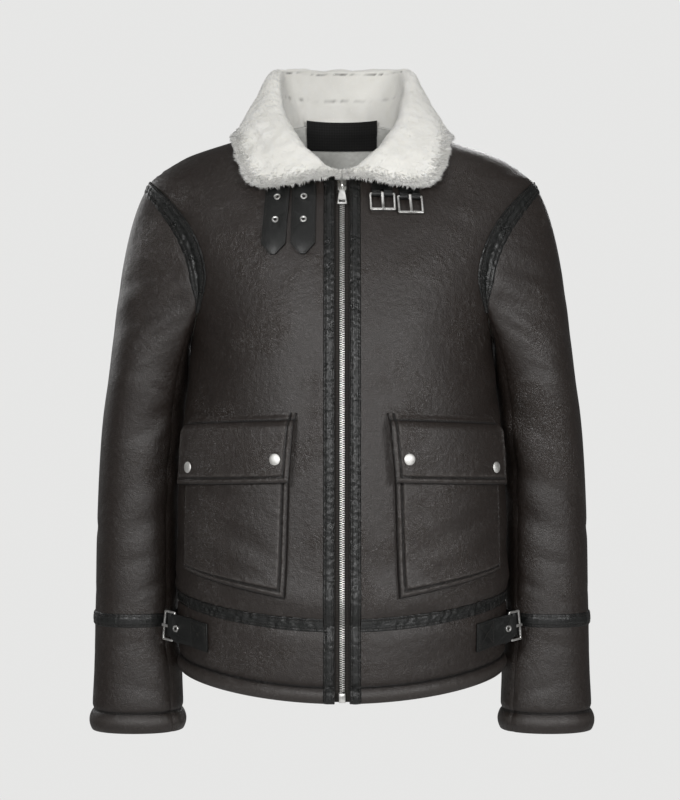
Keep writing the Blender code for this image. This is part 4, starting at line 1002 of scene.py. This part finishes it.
def armhole_trim(side, label):
    """The strip over the armhole's seam, from the sleeve's head to the body. Across it, 0 is at the
    seam and 1 at its edge on the body; below 0 it lies on the sleeve."""
    mirror = np.array((side, 1.0, 1.0))
    seam = ON_SLEEVE / (ON_SLEEVE + ON_BODY)

    def place(across, around, out):
        narrow = 1 - 0.75 * ramp(np.abs(around), 98, ARMHOLE_REACH)
        across = across * narrow
        turn, height = armhole(around, wider=0.35 + 4.9 * across, lower=0.001 + 0.013 * across)
        cosine = np.cos(np.radians(around))
        raised = height - np.where(cosine > 0, cosine**2 * 0.55 * (height - armhole(around)[1]), 0.0)
        on_body = torso(side * turn, raised, out)
        speed = np.linalg.norm(sleeve_base(0.02, around) - sleeve_base(0.0, around), axis=-1) / 0.02
        along = np.clip(-across, 0, 1) * ON_SLEEVE / speed
        on_sleeve = sleeve(along, around, out - 0.0002 - 0.0005 * ramp(-across, 0.1, 1.0)) * mirror
        return np.where((across >= 0)[..., None], on_body, on_sleeve)

    around = steps(-ARMHOLE_REACH, ARMHOLE_REACH, 1.2)
    across = np.concatenate((np.linspace(-1.0, -0.2, 8), np.linspace(0.0, 1.0, 11)))

    def share(across):
        return np.where(across < 0, seam * (1 + across), seam + (1 - seam) * across)

    def face(across, turn):
        return strip_out(share(across), turn * 0.0016, 0.0090, 5.0 + side, ARMHOLE_SUNK, 0.45)

    name, low = f"armhole_strip_{label}", LAID_ON + ARMHOLE_SUNK
    piece = strip(name, f"armhole_trim_{label}", TRIM_LOOK, place, across, around, face, low, share(across))
    lines = [line_on(place, at, around, low + LEATHER) for at in (-0.66, 0.70)]
    sew(f"armhole_sewing_{label}", lines)


def cuff_out(around, along):
    height = SLEEVE_TOP - (along - 1)
    waves = 0.0004 * ripple(around * SLEEVE_DEGREE, 0.011, 8.0) * hill(height - CUFF_GROOVE, 0.009)
    return np.where(along > 1, roll(height, CUFF_GROOVE, CUFF) + waves, 0.0)


def sleeve_rows():
    cap = np.linspace(0, 0.97, 60)
    arm = along_of(steps(SLEEVE_TOP, CUFF_GROOVE + 0.006, CLOTH_STEP))
    cuff = along_of(steps(CUFF_GROOVE + 0.004, CUFF, 0.0012))
    return np.concatenate((cap, arm, cuff))


def sleeve_panels(side, label):
    mirror = np.array((side, 1.0, 1.0))

    def place(around, along, out):
        return sleeve(along, around, out) * mirror

    low, high = UNDER_SLEEVE
    rows = sleeve_rows()
    # Painted shade in the cuff's groove and a painted highlight on its roll
    wear = (groove_wear(SLEEVE_TOP + 1 - rows - CUFF_GROOVE, 0.0020) * (rows > 1))[:, None]
    for kind, first, last, count, flat, area in (
        ("under", low + SLEEVE_GAP, high - SLEEVE_GAP, 22, (0.110, 0.560), 0.045),
        ("top", high + SLEEVE_GAP, low + 360 - SLEEVE_GAP, 72, (0.330, 0.690), 0.165),
    ):
        across = np.linspace(first, last, count)
        piece = panel(f"{kind}_sleeve_{label}", place, across, rows, cuff_out, wear=wear)
    bottom, top = SLEEVE_BAND
    down = along_of(np.linspace(top, bottom, 15))
    around = np.linspace(0, 360, 145)[:-1]

    def share(along):
        return (along - along_of(top)) / (top - bottom)

    def face(turn, along):
        return strip_out(share(along), turn * SLEEVE_DEGREE, 0.0160, 7.0 + side, SUNK, 0.22)

    name, node, low = f"sleeve_band_strip_{label}", f"sleeve_band_{label}", LAID_ON + SUNK
    piece = strip(name, node, BAND_LOOK, place, around, down, face, low, share(down)[:, None], ring=True)
    ring = np.linspace(0, 360, 200)
    lines = [line_on(place, ring, along_of(h), low + LEATHER) for h in (bottom + 0.0026, top - 0.0026)]
    lines.append(line_on(place, ring, along_of(CUFF_GROOVE), -0.0012))
    sew(f"sleeve_sewing_{label}", lines)


# The pockets' corners: how far from the middle the inner edge is, and the heights of the inner and
# outer ends. The outer edges' turns round the body, both sizes, and the edges' rows of sewing.
FLAP_TOP = (0.0510, -0.3255, -0.3320)
FLAP_BOTTOM = (0.0575, -0.4050, -0.4110)
BAG_TOP = (0.0575, -0.3440, -0.3500)
BAG_BOTTOM = (0.0630, -0.5370, -0.5145)
FLAP_SEAM = 0.0080
FLAP_SIDE = 65.0
BAG_SIDE = 63.0
BAG_SIZE = (0.170, 0.182)
FLAP_SIZE = (0.175, 0.080)
RIM = 0.0070
# How far out a bag's face is at its edge, how much further inside it, its sag and its sewn groove
BAG_EDGE, BAG_FULL, BAG_SAG, BAG_GROOVE = 0.0052, 0.0040, 0.0040, 0.0021
# How far a flap is lifted over the bag, then the same for its face
FLAP_LIFT = 0.0112
FLAP_EDGE, FLAP_FULL, FLAP_GROOVE = 0.0028, 0.0025, 0.0018


def pocket_place(side, top, bottom, last):
    def place(across, down, out):
        x = top[0] + (bottom[0] - top[0]) * down
        inner = top[1] + (bottom[1] - top[1]) * down
        outer = top[2] + (bottom[2] - top[2]) * down
        height = inner + (outer - inner) * across
        start = turn_at(x, height)
        return torso(side * (start + (last - start) * across), height, out)

    return place


def pocket_edge(across, down, size):
    """The distance from a pocket piece's side and lower edges, in metres."""
    return np.minimum(np.minimum(across, 1 - across) * size[0], (1 - down) * size[1])


def by_rim(gap):
    return np.exp(-np.abs(gap - RIM) / 0.012)


def bag_in(across, down):
    """The bag's edges are sewn down, and between them it stands off the front."""
    gap = pocket_edge(across, down, BAG_SIZE)
    return LAID_ON + 0.0032 * ramp(gap, 0.004, 0.009)


def bag_out(across, down):
    gap = pocket_edge(across, down, BAG_SIZE)
    rim = np.sqrt(np.clip(gap / 0.0085, 0, 1))
    sag = BAG_SAG * np.sin(math.pi * across) * down
    groove = -BAG_GROOVE * hill(gap - RIM, 0.0016)
    wave = 0.0006 * ripple(across * BAG_SIZE[0] + down * 0.3, 0.016, 3.0) * by_rim(gap)
    slack = 0.0010 * ripple(down * BAG_SIZE[1] + across * 0.05, 0.075, 1.0) * ramp(gap, 0.01, 0.04)
    return BAG_EDGE + BAG_FULL * rim + sag + groove + wave + slack


def rim_wear(gap, along):
    """Painted shade in the sewn groove of a pocket's edge and along its outer edge, and painted highlights in
    places on both sides of the groove.
    """
    patchy = ramp(ripple(along, 0.012, 4.0), -0.6, 0.7)
    rubbed = (0.22 + 0.35 * patchy) * hill(np.abs(gap - RIM) - 0.0030, 0.0014)
    return rubbed - hill(gap - RIM, 0.0014) - 0.8 * hill(gap, 0.0016)


def flap_in(across, down):
    return 0.0006 + FLAP_LIFT * ramp(down, 0.0, 0.22)


def flap_out(across, down):
    gap = pocket_edge(across, down, FLAP_SIZE)
    rim = np.sqrt(np.clip(gap / 0.0080, 0, 1))
    seam = down * FLAP_SIZE[1] - FLAP_SEAM
    groove = -FLAP_GROOVE * hill(gap - RIM, 0.0015) - FLAP_GROOVE * hill(seam, 0.0017)
    wave = 0.0005 * ripple(across * FLAP_SIZE[0] + down * 0.2, 0.015, 5.0) * by_rim(gap)
    return flap_in(across, down) + FLAP_EDGE + FLAP_FULL * rim + groove + wave


def round_edge(place, face, size, start):
    """The row of sewing inside a pocket piece's side and lower edges."""
    side, low = RIM / size[0], 1 - RIM / size[1]
    path = [(side, d) for d in np.linspace(start, low, 40)]
    path += [(a, low) for a in np.linspace(side, 1 - side, 40)[1:]]
    path += [(1 - side, d) for d in np.linspace(low, start, 40)[1:]]
    u, v = np.array(path).T
    return line_on(place, u, v, face(u, v))


def pocket(side, label):
    bag = pocket_place(side, BAG_TOP, BAG_BOTTOM, BAG_SIDE)
    flap = pocket_place(side, FLAP_TOP, FLAP_BOTTOM, FLAP_SIDE)
    lines = []
    for kind, under, place, size, face, beneath, flat, start in (
        ("pocket", "front", bag, BAG_SIZE, bag_out, bag_in, (0.185, 0.200), 0.36),
        ("pocket_flap", "pocket", flap, FLAP_SIZE, flap_out, flap_in, (0.190, 0.092), 0.10),
    ):
        across, down = fine_ends(size[0], 0.004), fine_ends(size[1], 0.003, kind == "pocket_flap")
        outer, inner = laid(place, across, down, face, beneath)
        u, v = np.meshgrid(across, down)
        wear = rim_wear(pocket_edge(u, v, size), u * size[0] + v * size[1])
        if kind == "pocket_flap":
            # Painted shade along the flap's sewn seam
            wear = wear - hill(v * size[1] - FLAP_SEAM, 0.0015)
        node = f"{kind}_{label}"
        piece = shell(f"hide_{node}", outer, inner, [HIDE_LOOK], "hide", [node], wear=wear)
        lines.append(round_edge(place, face, size, start))
    u = np.linspace(0.01, 0.99, 60)
    v = np.full(60, FLAP_SEAM / FLAP_SIZE[1])
    lines.append(line_on(flap, u, v, flap_out(u, v)))
    sew(f"pocket_sewing_{label}", lines)


# The rows of points up the collar's stand, round its fold and down its leaf
STAND_ROWS, FOLD_ROWS, LEAF_ROWS = 16, 11, 28
STAND_END = 20


def collar_grid(stations):
    """The middle of half a collar's fleece at each station, the way out of it, and half its
    thickness."""
    at = {n: smooth(np.arange(len(COLLAR), dtype=float), COLLAR_AT[n], stations) for n in COLLAR_COLUMNS}
    count = np.arange(len(NECK), dtype=float)
    seam = torso_base(smooth(count, NECK_AT["turn"], stations), smooth(count, NECK_AT["height"], stations))
    seam[:, 0] = np.maximum(seam[:, 0], COLLAR[0][0] * (stations < 11))
    seam[-1, 0] = 0.0
    up = np.array((0.0, 0.0, 1.0))
    inner = np.stack((at["roll_x"], at["roll_y"], at["roll_z"]), -1)
    edge = np.stack((at["edge_x"], at["edge_y"], at["edge_z"]), -1)
    edge[:, 2] = np.maximum(edge[:, 2], resting(edge[:, 0], edge[:, 1]) + 0.0062)
    outward = unit((edge - inner) * np.array((1.0, 1.0, 0.0)))
    half, bend = at["thick"][:, None] / 2, at["fold"][:, None] / 2
    centre = inner + outward * (half + bend) - up * (half + bend)
    base = seam + up * 0.0012
    first = math.radians(60) * (1 - ramp(centre[:, 2:] - base[:, 2:], 0.002, 0.014))
    top = centre - outward * bend * np.cos(first) + up * bend * np.sin(first)
    rise = outward * np.sin(first) + up * np.cos(first)
    rise = rise * np.linalg.norm(top - base, axis=-1, keepdims=True)
    rows, share = [], []
    for t in np.linspace(0, 1, STAND_ROWS + 1)[:-1]:
        bow = rise * t * (1 - t) * (1 - 2 * t)
        rows.append(base * (1 + 2 * t) * (1 - t) ** 2 + bow + top * t * t * (3 - 2 * t))
        share.append(0.62 + 0.38 * min(1.0, t / 0.36))
    fall_way = edge - centre
    flat = np.sum(fall_way * outward, axis=-1)
    steep = np.arctan2(-fall_way[:, 2], flat) - at["bulge"] * 20
    last = np.maximum(math.radians(100), math.pi / 2 + steep)[:, None]
    for k in range(FOLD_ROWS + 1):
        a = first + (last - first) * k / FOLD_ROWS
        rows.append(centre - outward * bend * np.cos(a) + up * bend * np.sin(a))
        share.append(1.0)
    leaving = outward * np.sin(last) + up * np.cos(last)
    start = rows[-1]
    hand = start + leaving * np.linalg.norm(edge - start, axis=-1, keepdims=True) * 0.45
    for t in np.linspace(0, 1, LEAF_ROWS + 1)[1:]:
        rows.append(start * (1 - t) ** 2 + hand * 2 * t * (1 - t) + edge * t * t)
        thinner = 0.15 * min(1, (t - 0.34) / 0.33) + 0.40 * max(0, (t - 0.67) / 0.33)
        share.append(1.0 if t < 0.34 else 1.0 - thinner)
    points = np.stack(rows, 1)
    step = unit(np.diff(points, axis=1))
    tangent = np.concatenate((step[:, :1], step[:, 1:] + step[:, :-1], step[:, -1:]), axis=1)
    normal = unit(np.cross(np.cross(outward, up)[:, None], tangent))
    return points, normal, at["thick"][:, None] / 2 * np.array(share)[None]


def resting(x, y):
    """The height of the shoulders at x and y."""
    low, high = np.full(x.shape, -0.12), np.full(x.shape, TORSO[-1][0])
    for _ in range(24):
        middle = (low + high) / 2
        depth = np.where(y > 0, body_size("back", middle), body_size("front", middle))
        inside = (x / body_size("half_width", middle)) ** 2 + (y / depth) ** 2 < 1
        low, high = np.where(inside, middle, low), np.where(inside, high, middle)
    return low


# Creases of the leaves, seen from the front: x and z of both ends, half width and depth.
LEAF_CREASES = (
    ((-0.117, 0.030), (-0.095, -0.012), 0.0050, 0.0026),
    ((-0.098, -0.012), (-0.090, -0.046), 0.0060, 0.0012),
    ((0.070, 0.060), (0.078, 0.086), 0.0030, 0.0020),
    ((0.098, -0.010), (0.080, -0.044), 0.0070, 0.0010),
)
STAND_SEAMS = (0.0995, 0.0655)
# The fleece's solid faces lie this far inside the tips of its pile.
COLLAR_SUNK = 0.0012
TUFTS = 38000
EDGE_TUFTS = 43000
UNDER_TUFTS = 9000
TUFT_WIDTH = 0.00042
CLUMP_SHARE = 0.045


def leaf_creases(points):
    """Soft creases across the front of the collar's leaves."""
    deep = np.zeros(points.shape[:-1])
    seen = points[..., (0, 2)]
    for start, end, wide, depth in LEAF_CREASES:
        start, end = np.array(start), np.array(end)
        line = end - start
        share = np.clip(((seen - start) @ line) / (line @ line), 0, 1)
        off = np.linalg.norm(seen - start - share[..., None] * line, axis=-1)
        deep += depth * hill(off, wide) * (points[..., 1] < 0.01) * np.sin(math.pi * (0.15 + 0.7 * share))
    return deep


def stand_seams(points):
    """The two level seams inside the back of the stand, from 0 to 1, broken up by the fleece."""
    total = np.zeros(points.shape[:-1])
    for seam, level in enumerate(STAND_SEAMS):
        level = level + 0.0006 * np.sin(points[..., 0] * 90 + seam)
        broken = ramp(ripple(points[..., 0], 0.016, 3.0 + seam), -0.9, 0.5)
        total += (0.8 - 0.35 * seam) * hill(points[..., 2] - level, 0.0009) * (points[..., 1] > 0.02) * broken
    return np.clip(total, 0, 1)


def collar():
    stations = np.concatenate((np.linspace(0, 3, 46)[:-1], np.linspace(3, 11, 100)))
    points, normal, half = collar_grid(stations)
    flip = np.array((-1.0, 1.0, 1.0))
    points = np.concatenate((points[:-1] * flip, points[::-1]))
    normal = np.concatenate((normal[:-1] * flip, normal[::-1]))
    half = np.concatenate((half[:-1], half[::-1]))
    sunk = np.maximum(half - COLLAR_SUNK, half * 0.6)[..., None]
    outer, inner = points + normal * sunk, points - normal * sunk
    outer = outer + normal * (0.0005 * uneven(outer, 0.014, 3) + 0.0010 * uneven(outer, 0.045, 4))[..., None]
    outer[:, 0, 2] -= 0.0021
    stand = (np.arange(outer.shape[1]) < STAND_END) * (outer[..., 1] > 0.0)
    seams = stand_seams(outer) * stand
    shaded = 0.30 * stand * (1 - 0.4 * ramp(outer[..., 0], -0.04, 0.05)) * (1 - seams)
    outer = outer - normal * (leaf_creases(outer) + 0.0022 * seams)[..., None]
    inner = inner - normal * (0.0006 * uneven(inner, 0.020, 5))[..., None]
    # Painted shade: dark lines along the stand's two seams, and the inside of the stand darker, most towards
    # the wearer's right
    wear = -0.9 * seams - shaded
    piece = shell("fleece_collar", outer, inner, [FLEECE_LOOK], "fleece", ["collar"], angle=80, wear=wear)
    lengths = np.linalg.norm(np.diff(outer, axis=1), axis=-1)
    to_edge = np.cumsum(lengths[:, ::-1], axis=1)[:, ::-1]
    to_edge = np.concatenate((to_edge, np.zeros((len(outer), 1))), axis=1)
    to_front = np.abs(outer[..., 0]) + 10.0 * (outer[..., 1] > 0)
    at_edge, at_front = np.exp(-to_edge / 0.010), np.exp(-to_front / 0.006)
    leaf = to_edge < 0.115
    back = (outer[..., 1] > 0.0) * ~leaf
    faces = (0.30 + 0.70 * leaf - 0.26 * back) * (seams < 0.2)
    tuft_field("collar_tufts_leaf", outer, normal, TUFTS, 11, 0.0018 + 0.0010 * at_edge, faces, 2.6, 0.15)
    strength = np.maximum(at_edge, 0.8 * at_front)
    long = 0.0016 + 0.0064 * strength * (0.75 + 0.25 * uneven(outer, 0.020, 8))
    tuft_field("collar_tufts_edge", outer, normal, EDGE_TUFTS, 12, long, strength**2.0, 1.1, 0.80)
    long = 0.0016 + 0.0044 * strength
    tuft_field("collar_tufts_under", inner, -normal, UNDER_TUFTS, 13, long, strength**1.2, 1.0, 0.70)


def tuft_field(name, grid, normal, count, seed, long, dense, hang, pull):
    """Tufts over a grid of points: leaning three-sided points, drawn together in clumps. long and
    dense are given at each point of the grid, hang is how far they lean down it, and pull is how
    far they are drawn towards the middle of their clump."""
    rng = np.random.default_rng(seed)
    across = np.linalg.norm(np.diff(grid, axis=1)[:-1], axis=-1)
    along = np.linalg.norm(np.diff(grid, axis=0)[:, :-1], axis=-1)
    share = (across * along * dense[:-1, :-1]).ravel()
    i, j = np.divmod(rng.choice(share.size, count, p=share / share.sum()), grid.shape[1] - 1)
    s, t = rng.random((2, count, 1))

    def between(a):
        low = a[i, j] * (1 - s) + a[i + 1, j] * s
        high = a[i, j + 1] * (1 - s) + a[i + 1, j + 1] * s
        return low * (1 - t) + high * t

    root, out, reach = between(grid), unit(between(normal)), between(long[..., None])
    down = unit((grid[i, j + 1] - grid[i, j]))
    leaders = root[: int(count * CLUMP_SHARE)]
    tree = KDTree(len(leaders))
    for k, point in enumerate(leaders):
        tree.insert(point, k)
    tree.balance()
    nearest = np.array([tree.find(p)[1] for p in root])
    length = reach * rng.uniform(0.6, 1.25, (count, 1))
    sideways = unit(np.cross(out, down))
    lean = down * rng.normal(hang, 0.30, (count, 1)) + sideways * rng.normal(0, 0.35, (count, 1))
    tip = root + unit(out * 0.80 + lean) * length
    toward = leaders[nearest] - root
    apart = np.maximum(np.linalg.norm(toward, axis=-1, keepdims=True), 1e-9)
    tip = tip + toward * np.minimum(1.0, reach / apart) * pull
    turn = rng.uniform(0, 2 * math.pi, (count, 1))
    width = TUFT_WIDTH * rng.uniform(0.75, 1.4, (count, 1)) * (0.8 + reach / 0.008)
    foot = root - out * 0.0006
    angles = [turn + k * 2 * math.pi / 3 for k in range(3)]
    ring = [foot + (down * np.cos(a) + sideways * np.sin(a)) * width for a in angles]
    points = np.stack(ring + [tip], 1)
    sides = np.array([(0, 1, 3), (1, 2, 3), (2, 0, 3), (2, 1, 0)])
    faces = (np.arange(count)[:, None, None] * 4 + sides).reshape(-1, 3).tolist()
    mesh = bpy.data.meshes.new(name)
    mesh.from_pydata(points.reshape(-1, 3).tolist(), [], faces)
    return keep(mesh, name, [TUFT_LOOK], "fleece", angle=120)


# Edges sharper than this are rounded, and faces flatter than the second are joined first.
SHARP = math.radians(28)
SAME_PLANE = math.radians(3)


def refined(node, look, slot, bevel, segments, body=JACKET):
    """A piece made from a copy of a node's mesh, merged, with its edges rounded."""
    mesh = NODES[node].data.copy()
    mesh.materials.clear()
    bm = bmesh.new()
    bm.from_mesh(mesh)
    bmesh.ops.remove_doubles(bm, verts=bm.verts, dist=1e-6)
    bmesh.ops.dissolve_limit(bm, angle_limit=SAME_PLANE, verts=bm.verts, edges=bm.edges)
    sharp = [e for e in bm.edges if e.is_manifold and e.calc_face_angle(0) > SHARP]
    bmesh.ops.bevel(
        bm, geom=sharp, offset=bevel, offset_type="OFFSET", segments=segments, profile=0.5, affect="EDGES",
        clamp_overlap=True,
    )
    bm.to_mesh(mesh)
    bm.free()
    return keep(mesh, f"{node}_piece", [look], slot, [node], body=body, angle=42)


def metal():
    """The nickel pieces, each on its body: the rounding of its edges and the steps in it."""
    for kind, bevel, segments in (("buckle", 0.0007, 3), ("prong", 0.0003, 2)):
        node = "buckle" if kind == "buckle" else "buckle_prong"
        for place in ("inner", "outer"):
            refined(f"{node}_{place}", NICKEL_LOOK, "nickel", bevel, segments, f"{kind}_{place}")
        for place in ("left", "right"):
            refined(f"side_{kind}_{place}", NICKEL_LOOK, "nickel", bevel, segments)
    refined("zip_slider", NICKEL_LOOK, "nickel", 0.0005, 2)
    refined("zip_pull", NICKEL_LOOK, "nickel", 0.0003, 2, "zip_pull")
    refined("zip_box", NICKEL_LOOK, "nickel", 0.0006, 2)
    for node in NODES:
        if "eyelet" in node:
            refined(node, NICKEL_LOOK, "nickel", 0.0002, 2)
        if "snap" in node:
            refined(node, BRUSHED_LOOK, "nickel", 0.0004, 3)


# The collar straps' middles at the top and at the tip, and the heights of both.
STRAPS = ((0.0730, 0.0790), (0.0438, 0.0448))
STRAP_TOP, STRAP_TIP = -0.0500, -0.1440
STRAP_HALF = 0.0138
STRAP_FACE = 0.0029
STRAP_CORNER = 0.0125
# The sewn end of a side tab: its turns round the body, its middle's height and its slope.
TAB_TURNS = (51.4, 60.8)
TAB_MIDDLE = -0.5868
TAB_RISE = 0.0035
TAB_HALF = 0.0125
TAB_FACE = 0.0028
FINE_STITCH = {"pitch": 0.0034, "long": 0.0024, "thick": 0.00030}


def strap_line(top_x, tip_x):
    """The row of sewing inside a collar strap's edges, down one side and up the other."""
    height = np.concatenate((steps(STRAP_TOP, STRAP_TIP + 0.0026, 0.002), [STRAP_TIP + 0.0022]))
    height = np.concatenate((height, height[::-1]))
    side = np.where(np.arange(len(height)) < len(height) // 2, -1.0, 1.0)
    down = (STRAP_TOP - height) / (STRAP_TOP - STRAP_TIP)
    narrow = np.clip(0.22 + 0.78 * (height - STRAP_TIP) / STRAP_CORNER, 0, 1)
    x = top_x + (tip_x - top_x) * down + side * np.maximum(STRAP_HALF * narrow - 0.0021, 0.0)
    turn = -turn_at(x, height)
    out = STRAP_FACE + 0.0008 * down
    return torso(turn, height, out), torso_normal(turn, height)


def tab_lines(side):
    """A sewn box with both its diagonals, on the end of a side tab."""
    first, last = TAB_TURNS
    corners = [(first, -1.0), (last, -1.0), (last, 1.0), (first, 1.0), (first, -1.0)]
    lines = []
    for a, b in list(zip(corners, corners[1:])) + [(corners[0], corners[2]), (corners[1], corners[3])]:
        t = np.linspace(0, 1, 16)
        turn = a[0] + (b[0] - a[0]) * t
        share = (turn - first) / (last - first)
        level = TAB_MIDDLE + TAB_RISE * share + TAB_HALF * (a[1] + (b[1] - a[1]) * t)
        height = level
        for _ in range(4):
            height = level - (torso_base(side * turn, height)[..., 2] - height)
        lines.append((torso(side * turn, height, TAB_FACE), torso_normal(side * turn, height)))
    return lines


def leather_fittings():
    for node in ("collar_strap_outer", "collar_strap_inner", "side_tab_left", "side_tab_right"):
        refined(node, STRAP_LOOK, "trim", 0.0005, 2)
    for node in ("side_strap_left", "side_strap_right", "buckle_loop_inner", "buckle_loop_outer"):
        refined(node, STRAP_LOOK, "trim", 0.0004, 2)
    sew("collar_strap_sewing", [strap_line(*xs) for xs in STRAPS], **FINE_STITCH)
    for side, label in ((-1, "right"), (1, "left")):
        sew(f"side_tab_sewing_{label}", tab_lines(side), **FINE_STITCH)


# A zip tooth's size, its place beside and behind the middle of the front, and the teeth's pitch
TOOTH = (0.0034, 0.0022, 0.00105)
TOOTH_ASIDE = 0.0013
TOOTH_BEHIND = -0.0022
TOOTH_PITCH = 0.0026
TEETH = (-0.6425, -0.0695)
TAPE_TOP = -0.0500
TAPE = (0.0004, 0.0140)
TAPE_BEHIND = (-0.0050, -0.0058)


def zip_teeth():
    """Interlocked teeth on both tapes, one modelled and the rest copied."""
    bpy.ops.object.select_all(action="DESELECT")
    bpy.ops.mesh.primitive_cube_add(size=1.0)
    tooth = bpy.context.object
    tooth.scale = TOOTH
    bpy.ops.object.transform_apply(location=False, rotation=False, scale=True)
    bpy.ops.object.mode_set(mode="EDIT")
    bpy.ops.mesh.select_all(action="SELECT")
    bpy.ops.mesh.bevel(offset=0.00032, segments=1, affect="EDGES")
    bpy.ops.object.mode_set(mode="OBJECT")
    shape = np.array([v.co for v in tooth.data.vertices])
    faces = [tuple(p.vertices) for p in tooth.data.polygons]
    bpy.data.objects.remove(tooth)
    points, every = [], []
    count = int((TEETH[1] - TEETH[0]) / TOOTH_PITCH)
    level = np.array((1.0, 0.0, 0.0))
    for k in range(count * 2):
        height = TEETH[0] + (k + 0.5) * TOOTH_PITCH / 2
        side = 1 if k % 2 else -1
        centre = torso_base(0.0, height) + torso_normal(0.0, height) * TOOTH_BEHIND
        up = unit(torso_base(0.0, height + 0.001) - torso_base(0.0, height - 0.001))
        turn = np.stack((level, np.cross(up, level), up), -1)
        offset = len(points) * len(shape)
        points.append(shape @ turn.T + centre + level * side * TOOTH_ASIDE)
        every += [tuple(v + offset for v in face) for face in faces]
    mesh = bpy.data.meshes.new("zip_teeth")
    mesh.from_pydata(np.concatenate(points).tolist(), [], every)
    keep(mesh, "zip_teeth", [TEETH_LOOK], "nickel", ["zip_chain"], angle=30)


def zip_tapes():
    rows = np.concatenate((steps(HEM + 0.001, HEM_GROOVE, 0.004), steps(HEM_GROOVE + 0.004, TAPE_TOP, 0.004)))
    for side, label in ((-1, "right"), (1, "left")):

        def place(x, height, out, side=side):
            return torso(side * turn_at(x, height), height, out)

        outer, inner = laid(place, np.linspace(*TAPE, 5), rows, *TAPE_BEHIND)
        piece = shell(f"zip_tape_weave_{label}", outer, inner, [TAPE_LOOK], "tape", [f"zip_tape_{label}"])


LABEL_HALF = 0.0440
LABEL_HEIGHTS = (0.0042, 0.0378)
LABEL_BEHIND = (-0.0080, -0.0068)


def neck_label():
    """The plain label inside the back, its surface a little wavy between its sewn ends."""

    def place(x, z, out):
        y = body_size("back", z) * np.sqrt(1 - (x / body_size("half_width", z)) ** 2)
        return np.stack((x, y + out, z), -1)

    def front(x, z):
        waves = np.sin(x * 95 + 1) * np.sin((z - LABEL_HEIGHTS[0]) * 86) ** 2
        return LABEL_BEHIND[0] - 0.0004 * waves

    across, up = np.linspace(-LABEL_HALF, LABEL_HALF, 60), np.linspace(*LABEL_HEIGHTS, 26)
    outer, inner = laid(place, across, up, front, LABEL_BEHIND[1])
    piece = shell("neck_label_weave", outer, inner, [LABEL_LOOK], "label", ["neck_label"])


# Where the waist strips end, in degrees, just before the side seams, and the spacing of their points
STRIP_SIDE = 89.94
STRIP_STEP = 0.55


def build():
    for side, label in ((-1, "right"), (1, "left")):
        front_panel(side, label)
        zip_trim(side, label)
        armhole_trim(side, label)
        sleeve_panels(side, label)
        pocket(side, label)
    back_panel()
    hem_panel("hem_left", None, 90.0, (0.245, 0.110))
    hem_panel("hem_right", -90.0, None, (0.245, 0.110))
    hem_panel("hem_back", 90.0, 270.0, (0.530, 0.110))
    turns = steps(float(turn_at(ZIP_STRIP[1] + LAID_ON, WAIST)), STRIP_SIDE, STRIP_STEP)
    waist_trim("waist_trim_left", turns, 1.0)
    waist_trim("waist_trim_right", -turns, 2.0)
    waist_trim("waist_trim_back", steps(180 - STRIP_SIDE, 180 + STRIP_SIDE, 0.9), 3.0)
    collar()
    leather_fittings()
    metal()
    zip_teeth()
    zip_tapes()
    neck_label()


# The camera, straight in front and level, and the floor below the hanging jacket
EYE_HEIGHT = -0.311
EYE_DISTANCE = 2.0
EYE_SIDE = -0.0024
LENS = 73.8
FLOOR = -1.45
FLOOR_RADIUS = 2.2
PALE_GROUND = (0.795, 0.795, 0.788, 1.0)
SOFT_LIGHT = 0.17
LAMP_AIM = (0.0, 0.0, -0.3)


def studio():
    """A pale floor, soft light and a camera straight in front."""
    lens = bpy.data.cameras.new("photo_camera")
    lens.lens = LENS
    camera = bpy.data.objects.new("photo_camera", lens)
    camera.location = (EYE_SIDE, -EYE_DISTANCE, EYE_HEIGHT)
    camera.rotation_euler = (math.radians(90), 0, 0)
    bpy.context.scene.collection.objects.link(camera)
    bpy.context.scene.camera = camera
    world = bpy.data.worlds.new("studio")
    world.use_nodes = True
    tree = world.node_tree
    seen = tree.nodes["Background"]
    seen.inputs["Color"].default_value = PALE_GROUND
    soft = tree.nodes.new("ShaderNodeBackground")
    soft.inputs["Color"].default_value = PALE_GROUND
    soft.inputs["Strength"].default_value = SOFT_LIGHT
    mix = tree.nodes.new("ShaderNodeMixShader")
    path = tree.nodes.new("ShaderNodeLightPath")
    tree.links.new(path.outputs["Is Camera Ray"], mix.inputs[0])
    tree.links.new(soft.outputs[0], mix.inputs[1])
    tree.links.new(seen.outputs[0], mix.inputs[2])
    tree.links.new(mix.outputs[0], tree.nodes["World Output"].inputs["Surface"])
    bpy.context.scene.world = world
    for name, place, power, size in (
        ("key_light", (-0.95, -2.4, 0.35), 25, 0.6),
        ("front_light", (0.10, -2.7, -0.20), 17, 0.4),
        ("fill_light", (1.35, -1.9, 0.05), 19, 0.6),
        ("top_light", (0.1, -0.6, 1.9), 6, 1.2),
        ("back_light", (0.7, 2.2, 0.9), 22, 1.2),
        ("far_light", (-1.9, 1.5, 0.6), 14, 1.2),
    ):
        lamp = bpy.data.lights.new(name, "AREA")
        lamp.energy, lamp.size = power, size
        made = bpy.data.objects.new(name, lamp)
        made.location = place
        made.rotation_euler = (Vector(LAMP_AIM) - Vector(place)).to_track_quat("-Z", "Y").to_euler()
        bpy.context.scene.collection.objects.link(made)
    bpy.ops.object.select_all(action="DESELECT")
    middle = (0, 0, FLOOR)
    bpy.ops.mesh.primitive_circle_add(vertices=96, radius=FLOOR_RADIUS, fill_type="NGON", location=middle)
    floor = bpy.context.object
    floor.name = "studio_floor"
    look = Look("pale_floor", Roughness=0.9)
    look.feed(Base_Color=look.colours(look.noise(0.5), (0.78, 0.78, 0.775), (0.80, 0.80, 0.795)))
    floor.data.materials.append(look.material)
    bpy.context.scene.view_settings.view_transform = "Standard"


studio()
build()
